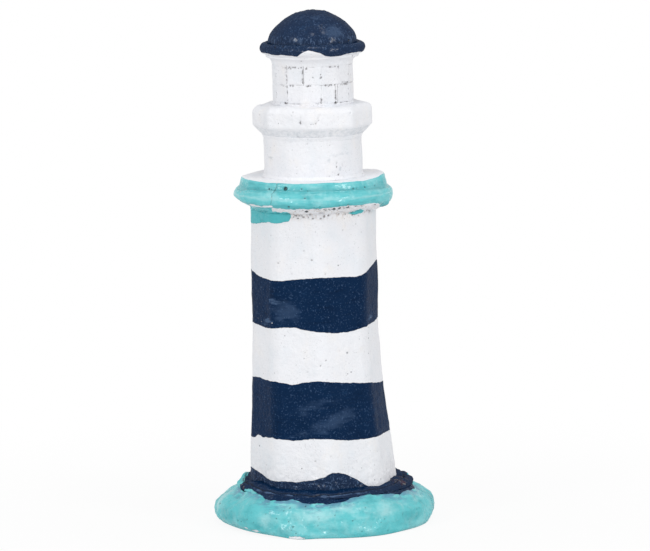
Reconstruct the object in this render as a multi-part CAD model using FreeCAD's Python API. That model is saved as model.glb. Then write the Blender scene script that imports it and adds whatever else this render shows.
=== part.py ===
# Garden lighthouse ornament, 300 mm tall: painted concrete castings stacked on a steel rod.
#
# From the ground up: a lumpy plinth, an eight-sided tower that flares at its foot, a stepped
# round gallery, a plain watch room, an eight-sided parapet, a glazed lantern room and a domed
# roof with a rolled brim. Each casting has a round key on top that fits a recess in the next
# one. Mortar fills the joint, and a steel rod grouted into a hole on the axis ties the stack.
# A lumpy mortar fillet hides the joint between tower and plinth.
#
# Millimetres. Z is up, with the ground at Z = 0, and the front is -Y. Each piece is drawn with the
# axis of the stack at X = Y = 0. At the end all are moved alike, so that the origin comes under the
# middle of the plinth.

import FreeCAD, Part

import math
import os

from FreeCAD import Vector

# ---- driving dimensions -------------------------------------------------------------------

# Plinth: a hand-shaped pad with a thick rounded edge.
PLINTH_R = 63.4           # mean radius where it is widest
PLINTH_H = 22.0           # height of the land that the tower stands on
PLINTH_LAND = 9.0         # the land reaches this far past the foot of the tower
PLINTH_WIDEST_H = 8.0
PLINTH_UNDERCUT = 2.6     # how far the bottom edge draws in under the widest line
PLINTH_SHOULDER_H = 18.0
PLINTH_SHOULDER = 0.62    # the shoulder is this share of the way from the land out to the widest line
# how far the outline wanders in and out, at equal steps round it from +X
PLINTH_LUMPS = (0.3, -0.8, 0.5, -0.5, 0.8, -0.9, 0.2, -0.4, -1.5, 0.9, -0.8, 1.2)

# Tower: an octagon with soft corners, leaning a little because its foot is off the axis.
TOWER_TOP_W = 72.8        # across the rounded corners
TOWER_H = 162.2
TOWER_TAPER = 2.8         # the straight taper widens it this much by the foot
TOWER_FLARE = 10.6        # and the flare adds this much more
TOWER_FLARE_H = 92.0      # the flare starts this far above the foot
TOWER_FLARE_POWER = 1.35  # 1 would be a straight flare with a kink
TOWER_FOOT_SHIFT = 3.1    # the foot and the plinth stand this far off the axis, along +X
TOWER_CORNER_R = 13.0
TOWER_TWIST = 5.0         # degrees that a corner stands off the front

# Fillet of mortar round the foot of the tower, lower at the front.
FILLET_H = 5.4
FILLET_SLOPE = 3.0        # degrees
FILLET_TOP = 1.4          # thickness at its top edge
FILLET_FOOT = 7.6         # thickness where it meets the plinth
FILLET_LUMPS = (0.6, -0.3, 0.2, -0.6, 0.5, 0.0, -0.5, 0.4, -0.2, 0.5, -0.6, 0.3)

# Gallery: a flange with a bowed edge on a coned underside, and a thinner tier on it.
GALLERY_FOOT_STEP = 1.7   # its foot stands this far proud of the tower
FLANGE_REACH = 8.0        # from its foot out to the widest line
FLANGE_H = 11.4
FLANGE_CONE_H = 3.1
FLANGE_BOW = 1.7          # how far the edge bows out
TIER_H = 6.0
TIER_SETBACK = 3.1        # from the widest line in to the tier's foot
TIER_DRAFT = 1.2          # the tier narrows this much towards its top
TIER_EDGE_R = 1.2
TIER_COVE_R = 1.0

# Watch room: a plain drum.
WATCH_R = 28.5
WATCH_H = 22.8
WATCH_EDGE_R = 0.8

# Parapet: an octagon with a rounded top edge, coned to a round foot.
PARAPET_W = 69.6          # across the rounded corners
PARAPET_H = 17.4
PARAPET_CORNER_R = 4.0
PARAPET_CONE_H = 5.2
PARAPET_FOOT_STEP = 0.8   # its foot stands this far proud of the watch room
PARAPET_EDGE_R = 3.8
PARAPET_TWIST = -3.2

# Lantern room: a prism of glazed panes under a cove.
LANTERN_W = 47.0          # across the corners
LANTERN_SIDES = 14
LANTERN_H = 26.8
LANTERN_TWIST = 12.3
PANE_SILL_H = 0.5         # height of the lowest glazing groove's middle
PANE_H = 10.6
PANE_ROWS = 2
GROOVE_W = 0.9
GROOVE_DEPTH = 0.6
COVE_REACH = 3.2          # the cove's top stands this far past the corners
COVE_HOLLOW = 0.33        # a half would be a straight slope

# Roof: a dome on a rolled brim.
BRIM_W = 61.2
BRIM_R = 3.4              # of the roll
BRIM_LIFT = 0.2           # the roll's lowest line stands this far above the roof's foot
DOME_SETBACK = 4.6        # from the brim's edge in to the dome's side
DOME_SPRING = 1.8         # from the middle of the roll up to the dome's widest line
DOME_RISE = 20.0
DOME_HAUNCH = 0.7         # radius of the haunch, as a share of the rise

# Joints between castings, and the rod.
BED_T = 1.0               # mortar between two castings
BED_SETBACK = 0.2         # the mortar is struck this far inside the narrower casting
KEY_H = 3.0
KEY_GAP = 1.0             # mortar round a key
KEY_WALL = 9.0            # concrete left outside a recess
ROD_D = 6.0
ROD_HOLE_D = 9.0
ROD_COVER_FOOT = 6.0      # concrete under the rod hole
ROD_COVER_TOP = 11.0      # concrete over the rod hole
ROD_END_GAP = 1.0         # grout past each end of the rod
ROD_CHAMFER = 0.6

# The castings were set by hand, each of these a little off the axis, along +X.
WATCH_SHIFT = 0.3
PARAPET_SHIFT = 0.5
LANTERN_SHIFT = 1.0
ROOF_SHIFT = 1.2

TOWER_SIDES = 8
PARAPET_SIDES = 8

# ---- sizes that follow from those ---------------------------------------------------------

TOWER_FOOT_W = TOWER_TOP_W + TOWER_TAPER + TOWER_FLARE
GALLERY_FOOT_R = TOWER_TOP_W / 2 + GALLERY_FOOT_STEP
FLANGE_R = GALLERY_FOOT_R + FLANGE_REACH
TIER_R = FLANGE_R - TIER_SETBACK
GALLERY_H = FLANGE_H + TIER_H
COVE_R = LANTERN_W / 2 + COVE_REACH
ROLL_R = BRIM_W / 2 - BRIM_R  # from the axis to the middle of the roll
ROOF_H = BRIM_LIFT + BRIM_R + DOME_SPRING + DOME_RISE

TOWER_Z = PLINTH_H + BED_T
GALLERY_Z = TOWER_Z + TOWER_H + BED_T
WATCH_Z = GALLERY_Z + GALLERY_H + BED_T
PARAPET_Z = WATCH_Z + WATCH_H + BED_T
LANTERN_Z = PARAPET_Z + PARAPET_H + BED_T
ROOF_Z = LANTERN_Z + LANTERN_H + BED_T
TOP_Z = ROOF_Z + ROOF_H

AXIS = Vector(0, 0, 1)
FULL_TURN = 2 * math.pi


# ---- shapes that several pieces share -----------------------------------------------------

def cylinder(radius, low, high, x=0.0):
    return Part.makeCylinder(radius, high - low, Vector(x, 0, low), AXIS)


def turned(start, *steps):
    """A solid of revolution about Z. A step is the end of a line, or a point on an arc and its end."""
    edges = []
    here = Vector(start[0], 0, start[1])
    for step in steps + (start,):
        if len(step) == 2:
            end = Vector(step[0], 0, step[1])
            edges.append(Part.LineSegment(here, end).toShape())
        else:
            through, end = Vector(step[0], 0, step[1]), Vector(step[2], 0, step[3])
            edges.append(Part.Arc(here, through, end).toShape())
        here = end
    face = Part.Face(Part.Wire(edges))
    return face.revolve(Vector(0, 0, 0), AXIS, 360)


def quarter(centre, radius):
    """The middle and end of a quarter arc that rounds an outer top edge."""
    half_way = radius * math.sqrt(0.5)
    return centre[0] + half_way, centre[1] + half_way, centre[0], centre[1] + radius


def corner_reach(sides, fillet):
    """How far a sharp corner stands past its fillet."""
    return fillet * (1 / math.cos(math.pi / sides) - 1)


def soft_polygon(sides, width, fillet, twist_deg, z, x=0.0):
    """A regular polygon, its width taken across the rounded corners. A corner stands near the front."""
    reach = width / 2 + corner_reach(sides, fillet)
    half = math.pi / sides
    setback = fillet * math.tan(half)
    along = math.sin(half) * reach - setback
    apothem = reach * math.cos(half)
    edges, joints = [], []
    for side in range(sides):
        corner = FULL_TURN * side / sides + math.radians(twist_deg) - math.pi / 2
        flat = corner + half

        def on_flat(offset):
            return Vector(x + apothem * math.cos(flat) - offset * math.sin(flat),
                          apothem * math.sin(flat) + offset * math.cos(flat), z)

        middle = Vector(x + width / 2 * math.cos(corner), width / 2 * math.sin(corner), z)
        joints.append((middle, on_flat(-along), on_flat(along)))
    for side in range(sides):
        middle, flat_start, flat_end = joints[side]
        edges.append(Part.Arc(joints[side - 1][2], middle, flat_start).toShape())
        edges.append(Part.LineSegment(flat_start, flat_end).toShape())
    return Part.Wire(edges)


def circle(radius, z, x=0.0):
    return Part.Wire([Part.makeCircle(radius, Vector(x, 0, z), AXIS)])


def lumpy_ring(radius, lumps, share, z, x=0.0):
    """A closed hand-shaped outline: a circle that wanders in and out."""
    points = []
    for k, lump in enumerate(lumps):
        angle = FULL_TURN * k / len(lumps)
        reach = radius + lump * share
        points.append(Vector(x + reach * math.cos(angle), reach * math.sin(angle), z))
    curve = Part.BSplineCurve()
    curve.interpolate(Points=points, PeriodicFlag=True)
    return Part.Wire([curve.toShape()])


def prism(wire, height):
    return Part.Face(wire).extrude(Vector(0, 0, height))


def loft(wires, ruled=False):
    return Part.makeLoft(wires, True, ruled)


def inradius(sides, width, fillet):
    return (width / 2 + corner_reach(sides, fillet)) * math.cos(math.pi / sides)


def tower_outline(up_mm, z, setback=0.0):
    """The tower's section at a height above its foot, drawn at z."""
    flare = max(0.0, 1 - up_mm / TOWER_FLARE_H) ** TOWER_FLARE_POWER
    width = TOWER_TOP_W + TOWER_TAPER * (1 - up_mm / TOWER_H) + TOWER_FLARE * flare
    return soft_polygon(TOWER_SIDES, width - 2 * setback, TOWER_CORNER_R, TOWER_TWIST, z,
                        x=TOWER_FOOT_SHIFT * flare)


# ---- joints between castings --------------------------------------------------------------

# The outline of the mortar, and the radius that fits inside both castings.
TOWER_FOOT_IN_R = inradius(TOWER_SIDES, TOWER_FOOT_W, TOWER_CORNER_R) - TOWER_FOOT_SHIFT
TOWER_TOP_IN_R = inradius(TOWER_SIDES, TOWER_TOP_W, TOWER_CORNER_R)
LANTERN_IN_R = LANTERN_W / 2 * math.cos(math.pi / LANTERN_SIDES)
ROOF_FOOT_R = min(COVE_R, ROLL_R)
JOINTS = {
    "tower": (PLINTH_H, TOWER_FOOT_IN_R, lambda z: tower_outline(0, z)),
    "gallery": (GALLERY_Z - BED_T, TOWER_TOP_IN_R, lambda z: tower_outline(TOWER_H, z, BED_SETBACK)),
    "watch_room": (WATCH_Z - BED_T, WATCH_R, lambda z: circle(WATCH_R - BED_SETBACK, z, WATCH_SHIFT)),
    "parapet": (PARAPET_Z - BED_T, WATCH_R, lambda z: circle(WATCH_R - BED_SETBACK, z, WATCH_SHIFT)),
    "lantern_room": (LANTERN_Z - BED_T, LANTERN_IN_R,
                     lambda z: circle(LANTERN_IN_R - BED_SETBACK, z, LANTERN_SHIFT)),
    "roof": (ROOF_Z - BED_T, ROOF_FOOT_R,
             lambda z: circle(ROOF_FOOT_R - BED_SETBACK, z, LANTERN_SHIFT)),
}


def joint_z(joint):
    return JOINTS[joint][0]


def key_radius(joint):
    return JOINTS[joint][1] - KEY_WALL - KEY_GAP


def rod_hole():
    return cylinder(ROD_HOLE_D / 2, ROD_COVER_FOOT, TOP_Z - ROD_COVER_TOP)


def with_key(casting, joint):
    """The casting under a joint, with the key that stands on it."""
    z = joint_z(joint)
    return casting.fuse(cylinder(key_radius(joint), z - KEY_H, z + KEY_H))


def with_recess(casting, joint):
    """The casting over a joint, with the recess that takes the key."""
    z = joint_z(joint) + BED_T
    return casting.cut(cylinder(key_radius(joint) + KEY_GAP, z, z + KEY_H))


def set_off(casting, shift):
    return casting.translated(Vector(shift, 0, 0))


def finished(casting):
    return casting.cut(rod_hole()).removeSplitter()


def mortar_bed(joint):
    """Mortar between two castings: a layer, and a cap over the key, all one solid."""
    z, _, outline = JOINTS[joint]
    layer = prism(outline(z), BED_T)
    cap = cylinder(key_radius(joint) + KEY_GAP, z, z + BED_T + KEY_H)
    key = cylinder(key_radius(joint), z, z + KEY_H)
    return finished(layer.fuse(cap).cut(key))


# ---- the castings -------------------------------------------------------------------------

def plinth():
    """A pad with a lumpy edge: undercut at the ground, a thick round side, then a slope up."""
    land_r = TOWER_FOOT_W / 2 + PLINTH_LAND
    shoulder_r = land_r + (PLINTH_R - land_r) * PLINTH_SHOULDER
    over_side_r = shoulder_r + (PLINTH_R - shoulder_r) * 0.8
    levels = (
        (0.0, PLINTH_R - PLINTH_UNDERCUT, 1.0),
        (PLINTH_WIDEST_H * 0.4, PLINTH_R - PLINTH_UNDERCUT * 0.3, 1.0),
        (PLINTH_WIDEST_H, PLINTH_R, 1.0),
        ((PLINTH_WIDEST_H + PLINTH_SHOULDER_H) / 2, over_side_r, 0.9),
        (PLINTH_SHOULDER_H, shoulder_r, 0.7),
        (PLINTH_H, land_r, 0.3),
    )
    wires = [lumpy_ring(r, PLINTH_LUMPS, share, z, x=TOWER_FOOT_SHIFT) for z, r, share in levels]
    return finished(with_key(loft(wires), "tower"))


def tower_body():
    """The tower before its key, recess and hole."""
    flare_steps, shaft_steps = 4, 2
    heights = [TOWER_FLARE_H * k / flare_steps for k in range(flare_steps)]
    heights += [TOWER_FLARE_H + (TOWER_H - TOWER_FLARE_H) * k / shaft_steps
                for k in range(shaft_steps + 1)]
    return loft([tower_outline(up, TOWER_Z + up) for up in heights])


def tower_shaft():
    return finished(with_key(with_recess(tower_body(), "tower"), "gallery"))


def foot_fillet():
    """Mortar pressed into the corner between tower and plinth, thick and uneven."""
    foot_r = TOWER_FOOT_W / 2
    levels = (
        (0.0, FILLET_FOOT, 1.0),
        (0.45, FILLET_FOOT * 0.62 + FILLET_TOP * 0.38, 0.9),
        (0.8, FILLET_FOOT * 0.22 + FILLET_TOP * 0.78, 0.7),
        (1.0, FILLET_TOP, 0.5),
    )
    wires = []
    for up, thick, share in levels:
        z = PLINTH_H + FILLET_H * up
        ring = lumpy_ring(foot_r + thick, FILLET_LUMPS, share, z, x=TOWER_FOOT_SHIFT)
        ring.rotate(Vector(TOWER_FOOT_SHIFT, 0, z), Vector(1, 0, 0), FILLET_SLOPE * up)
        wires.append(ring)
    under_tower = prism(tower_outline(0, PLINTH_H), BED_T)
    return loft(wires).cut(under_tower).cut(tower_body())


def gallery_ring():
    """A round slab in two tiers: a flange with a bowed edge, and a tier with a soft top edge."""
    z, top = GALLERY_Z, GALLERY_Z + GALLERY_H
    step_z = z + FLANGE_H
    edge_r = FLANGE_R - FLANGE_BOW
    tier_top_r = TIER_R - TIER_DRAFT
    hollow = TIER_COVE_R * (1 - math.sqrt(0.5))
    body = turned(
        (0, z),
        (GALLERY_FOOT_R, z),
        (edge_r, z + FLANGE_CONE_H),
        (FLANGE_R, z + (FLANGE_CONE_H + FLANGE_H) / 2, edge_r, step_z),
        (TIER_R + TIER_COVE_R, step_z),
        (TIER_R + hollow, step_z + hollow, TIER_R, step_z + TIER_COVE_R),
        (tier_top_r, top - TIER_EDGE_R),
        quarter((tier_top_r - TIER_EDGE_R, top - TIER_EDGE_R), TIER_EDGE_R),
        (0, top),
    )
    return finished(with_key(with_recess(body, "gallery"), "watch_room"))


def watch_room():
    z, top = WATCH_Z, WATCH_Z + WATCH_H
    body = turned(
        (0, z),
        (WATCH_R, z),
        (WATCH_R, top - WATCH_EDGE_R),
        quarter((WATCH_R - WATCH_EDGE_R, top - WATCH_EDGE_R), WATCH_EDGE_R),
        (0, top),
    )
    return finished(with_key(with_recess(set_off(body, WATCH_SHIFT), "watch_room"), "parapet"))


def parapet():
    """An octagon whose foot is nearly round and whose top edge is rounded over."""
    z, top = PARAPET_Z, PARAPET_Z + PARAPET_H

    def outline(width, corner_r, height):
        return soft_polygon(PARAPET_SIDES, width, corner_r, PARAPET_TWIST, height)

    foot_w = 2 * (WATCH_R + PARAPET_FOOT_STEP)
    cone = loft([outline(foot_w, foot_w * 0.4, z),
                 outline(PARAPET_W, PARAPET_CORNER_R, z + PARAPET_CONE_H)], ruled=True)
    side = prism(outline(PARAPET_W, PARAPET_CORNER_R, z + PARAPET_CONE_H),
                 PARAPET_H - PARAPET_CONE_H - PARAPET_EDGE_R)
    rounding = []
    for turn in (0, 30, 60, 90):
        angle = math.radians(turn)
        width = PARAPET_W - 2 * PARAPET_EDGE_R * (1 - math.cos(angle))
        rounding.append(outline(width, PARAPET_CORNER_R, top - PARAPET_EDGE_R * (1 - math.sin(angle))))
    body = cone.fuse([side, loft(rounding)])
    return finished(with_key(with_recess(set_off(body, PARAPET_SHIFT), "parapet"), "lantern_room"))


def lantern_room():
    """A many-sided prism with a glazing groove at each corner and round each row of panes."""
    z, top = LANTERN_Z, LANTERN_Z + LANTERN_H
    panes_h = PANE_ROWS * PANE_H
    panes_top = z + PANE_SILL_H + panes_h + GROOVE_W / 2

    def panes(inset, low, height):
        return prism(soft_polygon(LANTERN_SIDES, LANTERN_W - 2 * inset, GROOVE_W / 4,
                                  LANTERN_TWIST, low), height)

    cove_w = COVE_R - LANTERN_IN_R
    cove_h = top - panes_top
    cove = turned(
        (0, panes_top),
        (LANTERN_IN_R, panes_top),
        (LANTERN_IN_R + cove_w * COVE_HOLLOW, top - cove_h * COVE_HOLLOW, COVE_R, top),
        (0, top),
    )
    grooves = []
    for row in range(PANE_ROWS + 1):
        low = z + PANE_SILL_H + row * PANE_H - GROOVE_W / 2
        grooves.append(panes(-GROOVE_DEPTH, low, GROOVE_W).cut(panes(GROOVE_DEPTH, low, GROOVE_W)))
    upright = Part.makeBox(GROOVE_DEPTH * 2, GROOVE_W, panes_h,
                           Vector(LANTERN_W / 2 - GROOVE_DEPTH, -GROOVE_W / 2, z + PANE_SILL_H))
    for side in range(LANTERN_SIDES):
        turn = LANTERN_TWIST - 90 + 360 * side / LANTERN_SIDES
        grooves.append(upright.rotated(Vector(0, 0, 0), AXIS, turn))
    body = panes(0, z, panes_top - z).fuse(cove).cut(grooves)
    return finished(with_key(with_recess(set_off(body, LANTERN_SHIFT), "lantern_room"), "roof"))


def roof_dome():
    """A dome with tight haunches and a flatter crown, standing on a disc whose edge is a full roll."""
    z = ROOF_Z
    roll_z = z + BRIM_LIFT + BRIM_R
    spring_z = roll_z + DOME_SPRING
    brim = turned(
        (0, z),
        (ROLL_R, z),
        (ROLL_R, z + BRIM_LIFT),
        (BRIM_W / 2, roll_z, ROLL_R, roll_z + BRIM_R),
        (0, roll_z + BRIM_R),
    )
    dome_r = BRIM_W / 2 - DOME_SETBACK
    haunch_r = DOME_RISE * DOME_HAUNCH
    haunch = (dome_r - haunch_r, spring_z)
    # the crown's arc touches the haunch's without a crease, which sets its radius
    crown_r = (haunch[0] ** 2 + DOME_RISE ** 2 - haunch_r ** 2) / (2 * (DOME_RISE - haunch_r))
    crown_z = TOP_Z - crown_r
    touch = math.atan2(spring_z - crown_z, haunch[0])

    def on_arc(centre, radius, angle):
        return centre[0] + radius * math.cos(angle), centre[1] + radius * math.sin(angle)

    dome = turned(
        (0, roll_z),
        (dome_r, roll_z),
        (dome_r, spring_z),
        on_arc(haunch, haunch_r, touch / 2) + on_arc(haunch, haunch_r, touch),
        on_arc((0, crown_z), crown_r, (touch + math.pi / 2) / 2) + (0, TOP_Z),
    )
    return finished(with_recess(set_off(brim.fuse(dome), ROOF_SHIFT), "roof"))


# ---- the rod and its grout ----------------------------------------------------------------

def centre_rod():
    low = ROD_COVER_FOOT + ROD_END_GAP
    high = TOP_Z - ROD_COVER_TOP - ROD_END_GAP
    r = ROD_D / 2
    return turned(
        (0, low),
        (r - ROD_CHAMFER, low),
        (r, low + ROD_CHAMFER),
        (r, high - ROD_CHAMFER),
        (r - ROD_CHAMFER, high),
        (0, high),
    )


def rod_grout():
    return rod_hole().cut(centre_rod())


# ---- the parts ----------------------------------------------------------------------------

PIECES = {
    "plinth": plinth,
    "foot_fillet": foot_fillet,
    "tower_shaft": tower_shaft,
    "gallery_ring": gallery_ring,
    "watch_room": watch_room,
    "parapet": parapet,
    "lantern_room": lantern_room,
    "roof_dome": roof_dome,
    "centre_rod": centre_rod,
    "rod_grout": rod_grout,
}


def built():
    """Every piece of the stack, moved so that the plinth's outline is centred on the origin."""
    shapes = {name: build() for name, build in PIECES.items()}
    shapes.update({f"{joint}_mortar": mortar_bed(joint) for joint in JOINTS})
    middle = shapes["plinth"].optimalBoundingBox(False, False).Center
    return {name: shape.translated(Vector(-middle.x, -middle.y, 0)) for name, shape in shapes.items()}


os.makedirs("parts", exist_ok=True)
for name, shape in built().items():
    shape.exportStep(f"parts/{name}.step")
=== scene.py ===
import math
import random

import bpy
import numpy as np
from mathutils import Matrix, Vector, noise


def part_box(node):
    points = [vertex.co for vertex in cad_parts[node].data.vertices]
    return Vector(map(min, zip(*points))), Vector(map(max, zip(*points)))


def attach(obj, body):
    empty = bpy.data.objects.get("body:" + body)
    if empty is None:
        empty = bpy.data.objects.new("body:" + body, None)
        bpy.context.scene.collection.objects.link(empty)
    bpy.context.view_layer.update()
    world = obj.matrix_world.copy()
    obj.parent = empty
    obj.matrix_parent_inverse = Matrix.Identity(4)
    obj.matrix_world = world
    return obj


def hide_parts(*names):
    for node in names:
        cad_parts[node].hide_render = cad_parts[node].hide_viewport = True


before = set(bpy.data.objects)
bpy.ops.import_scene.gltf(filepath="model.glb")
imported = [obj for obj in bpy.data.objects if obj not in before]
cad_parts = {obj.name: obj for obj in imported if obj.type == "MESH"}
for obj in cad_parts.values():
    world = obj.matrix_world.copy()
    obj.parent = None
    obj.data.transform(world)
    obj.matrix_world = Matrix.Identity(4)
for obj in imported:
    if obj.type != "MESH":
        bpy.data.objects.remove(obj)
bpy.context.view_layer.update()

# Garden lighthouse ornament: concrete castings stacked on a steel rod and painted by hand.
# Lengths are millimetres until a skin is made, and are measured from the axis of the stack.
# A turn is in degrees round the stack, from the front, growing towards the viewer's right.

MM = 0.001
NOWHERE = -9  # a mark this far outside its paint's edge


def foot_of(node):
    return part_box(node)[0].z / MM


ROD_LOW, ROD_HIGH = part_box("centre_rod")
STACK_X = (ROD_LOW.x + ROD_HIGH.x) / 2 / MM
STACK_Y = (ROD_LOW.y + ROD_HIGH.y) / 2 / MM

# ---- measures of the castings, each over its foot level -------------------------------------

PLINTH_TOP = foot_of("tower_mortar")
TOWER_FOOT, TOWER_TOP = foot_of("tower_shaft"), foot_of("gallery_mortar")
GALLERY_FOOT, GALLERY_TOP = foot_of("gallery_ring"), foot_of("watch_room_mortar")
WATCH_FOOT, WATCH_TOP = foot_of("watch_room"), foot_of("parapet_mortar")
PARAPET_FOOT, PARAPET_TOP = foot_of("parapet"), foot_of("lantern_room_mortar")
LANTERN_FOOT, LANTERN_TOP = foot_of("lantern_room"), foot_of("roof_mortar")
ROOF_FOOT, ROOF_TOP = foot_of("roof_dome"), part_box("roof_dome")[1].z / MM

PLINTH_R, PLINTH_UNDERCUT, PLINTH_WIDEST_H, PLINTH_SHOULDER_H = 63.4, 2.6, 8.0, 18.0
TOWER_TOP_W, TOWER_TAPER, TOWER_FLARE, TOWER_FLARE_H, TOWER_FLARE_POWER = 72.8, 2.8, 10.6, 92.0, 1.35
TOWER_CORNER_R, TOWER_TWIST, TOWER_FOOT_SHIFT = 13.0, 5.0, 3.1
TOWER_FOOT_R = (TOWER_TOP_W + TOWER_TAPER + TOWER_FLARE) / 2
PLINTH_LAND_R = TOWER_FOOT_R + 9.0
FILLET_REACH = 7.6
GALLERY_FOOT_R, FLANGE_R, FLANGE_BOW, FLANGE_H, FLANGE_CONE_H = 38.1, 46.1, 1.7, 11.4, 3.1
TIER_R, TIER_DRAFT = 43.0, 1.2
WATCH_R = 28.5
PARAPET_W, PARAPET_CORNER_R, PARAPET_CONE_H, PARAPET_EDGE_R, PARAPET_TWIST = 69.6, 4.0, 5.2, 3.8, -3.2
LANTERN_W, LANTERN_SIDES, LANTERN_TWIST, PANE_SILL_H, PANE_H = 47.0, 14, 12.3, 0.5, 10.6
COVE_REACH = 3.2
BRIM_W, BRIM_R, BRIM_LIFT, DOME_SETBACK, DOME_SPRING, DOME_HAUNCH = 61.2, 3.4, 0.2, 4.6, 1.8, 0.7
WATCH_SHIFT, PARAPET_SHIFT, LANTERN_SHIFT, ROOF_SHIFT = 0.3, 0.5, 1.0, 1.2


# ---- skins: how a cast and hand-worked surface is made ----------------------------------------

def soft_polygon(turn, width, corner_r, sides, twist):
    """How far a polygon with rounded corners reaches at each turn, its width taken across the corners."""
    half = math.pi / sides
    tip = width / 2 + corner_r * (1 / math.cos(half) - 1)
    flat = tip * math.cos(half)
    off = np.abs((np.radians(turn - twist) + half) % (2 * half) - half)
    hub = tip - corner_r / math.cos(half)
    tangent = half - np.arctan2(tip * math.sin(half) - corner_r * math.tan(half), flat)
    rounded = hub * np.cos(off) + np.sqrt(np.maximum(corner_r ** 2 - (hub * np.sin(off)) ** 2, 0))
    return np.where(off < tangent, rounded, flat / np.cos(half - off))


def round_outline(radius):
    return lambda turn, z: radius + 0 * turn


def by_hand(turn, marks, soft=2.0):
    """A line drawn round the stack through {turn: value} marks, with its corners eased."""
    turns = [mark + lap for lap in (-360, 0, 360) for mark in marks]
    values = [*marks.values()] * 3
    return sum(np.interp(turn + step * soft, turns, values) for step in (-1, -0.5, 0, 0.5, 1)) / 5


def arc(inset, z, radius, start, end, steps=7):
    """Rows round an arc, centred at an inset and a height. 0 degrees points outwards and 90 up."""
    turns = np.radians(np.linspace(start, end, steps))
    return [(1.0, inset - radius * math.cos(t), z + radius * math.sin(t)) for t in turns]


def ease(value, low, high):
    """0 below low, 1 above high, and smooth between."""
    t = np.clip((value - low) / (high - low), 0, 1)
    return t * t * (3 - 2 * t)


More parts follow.
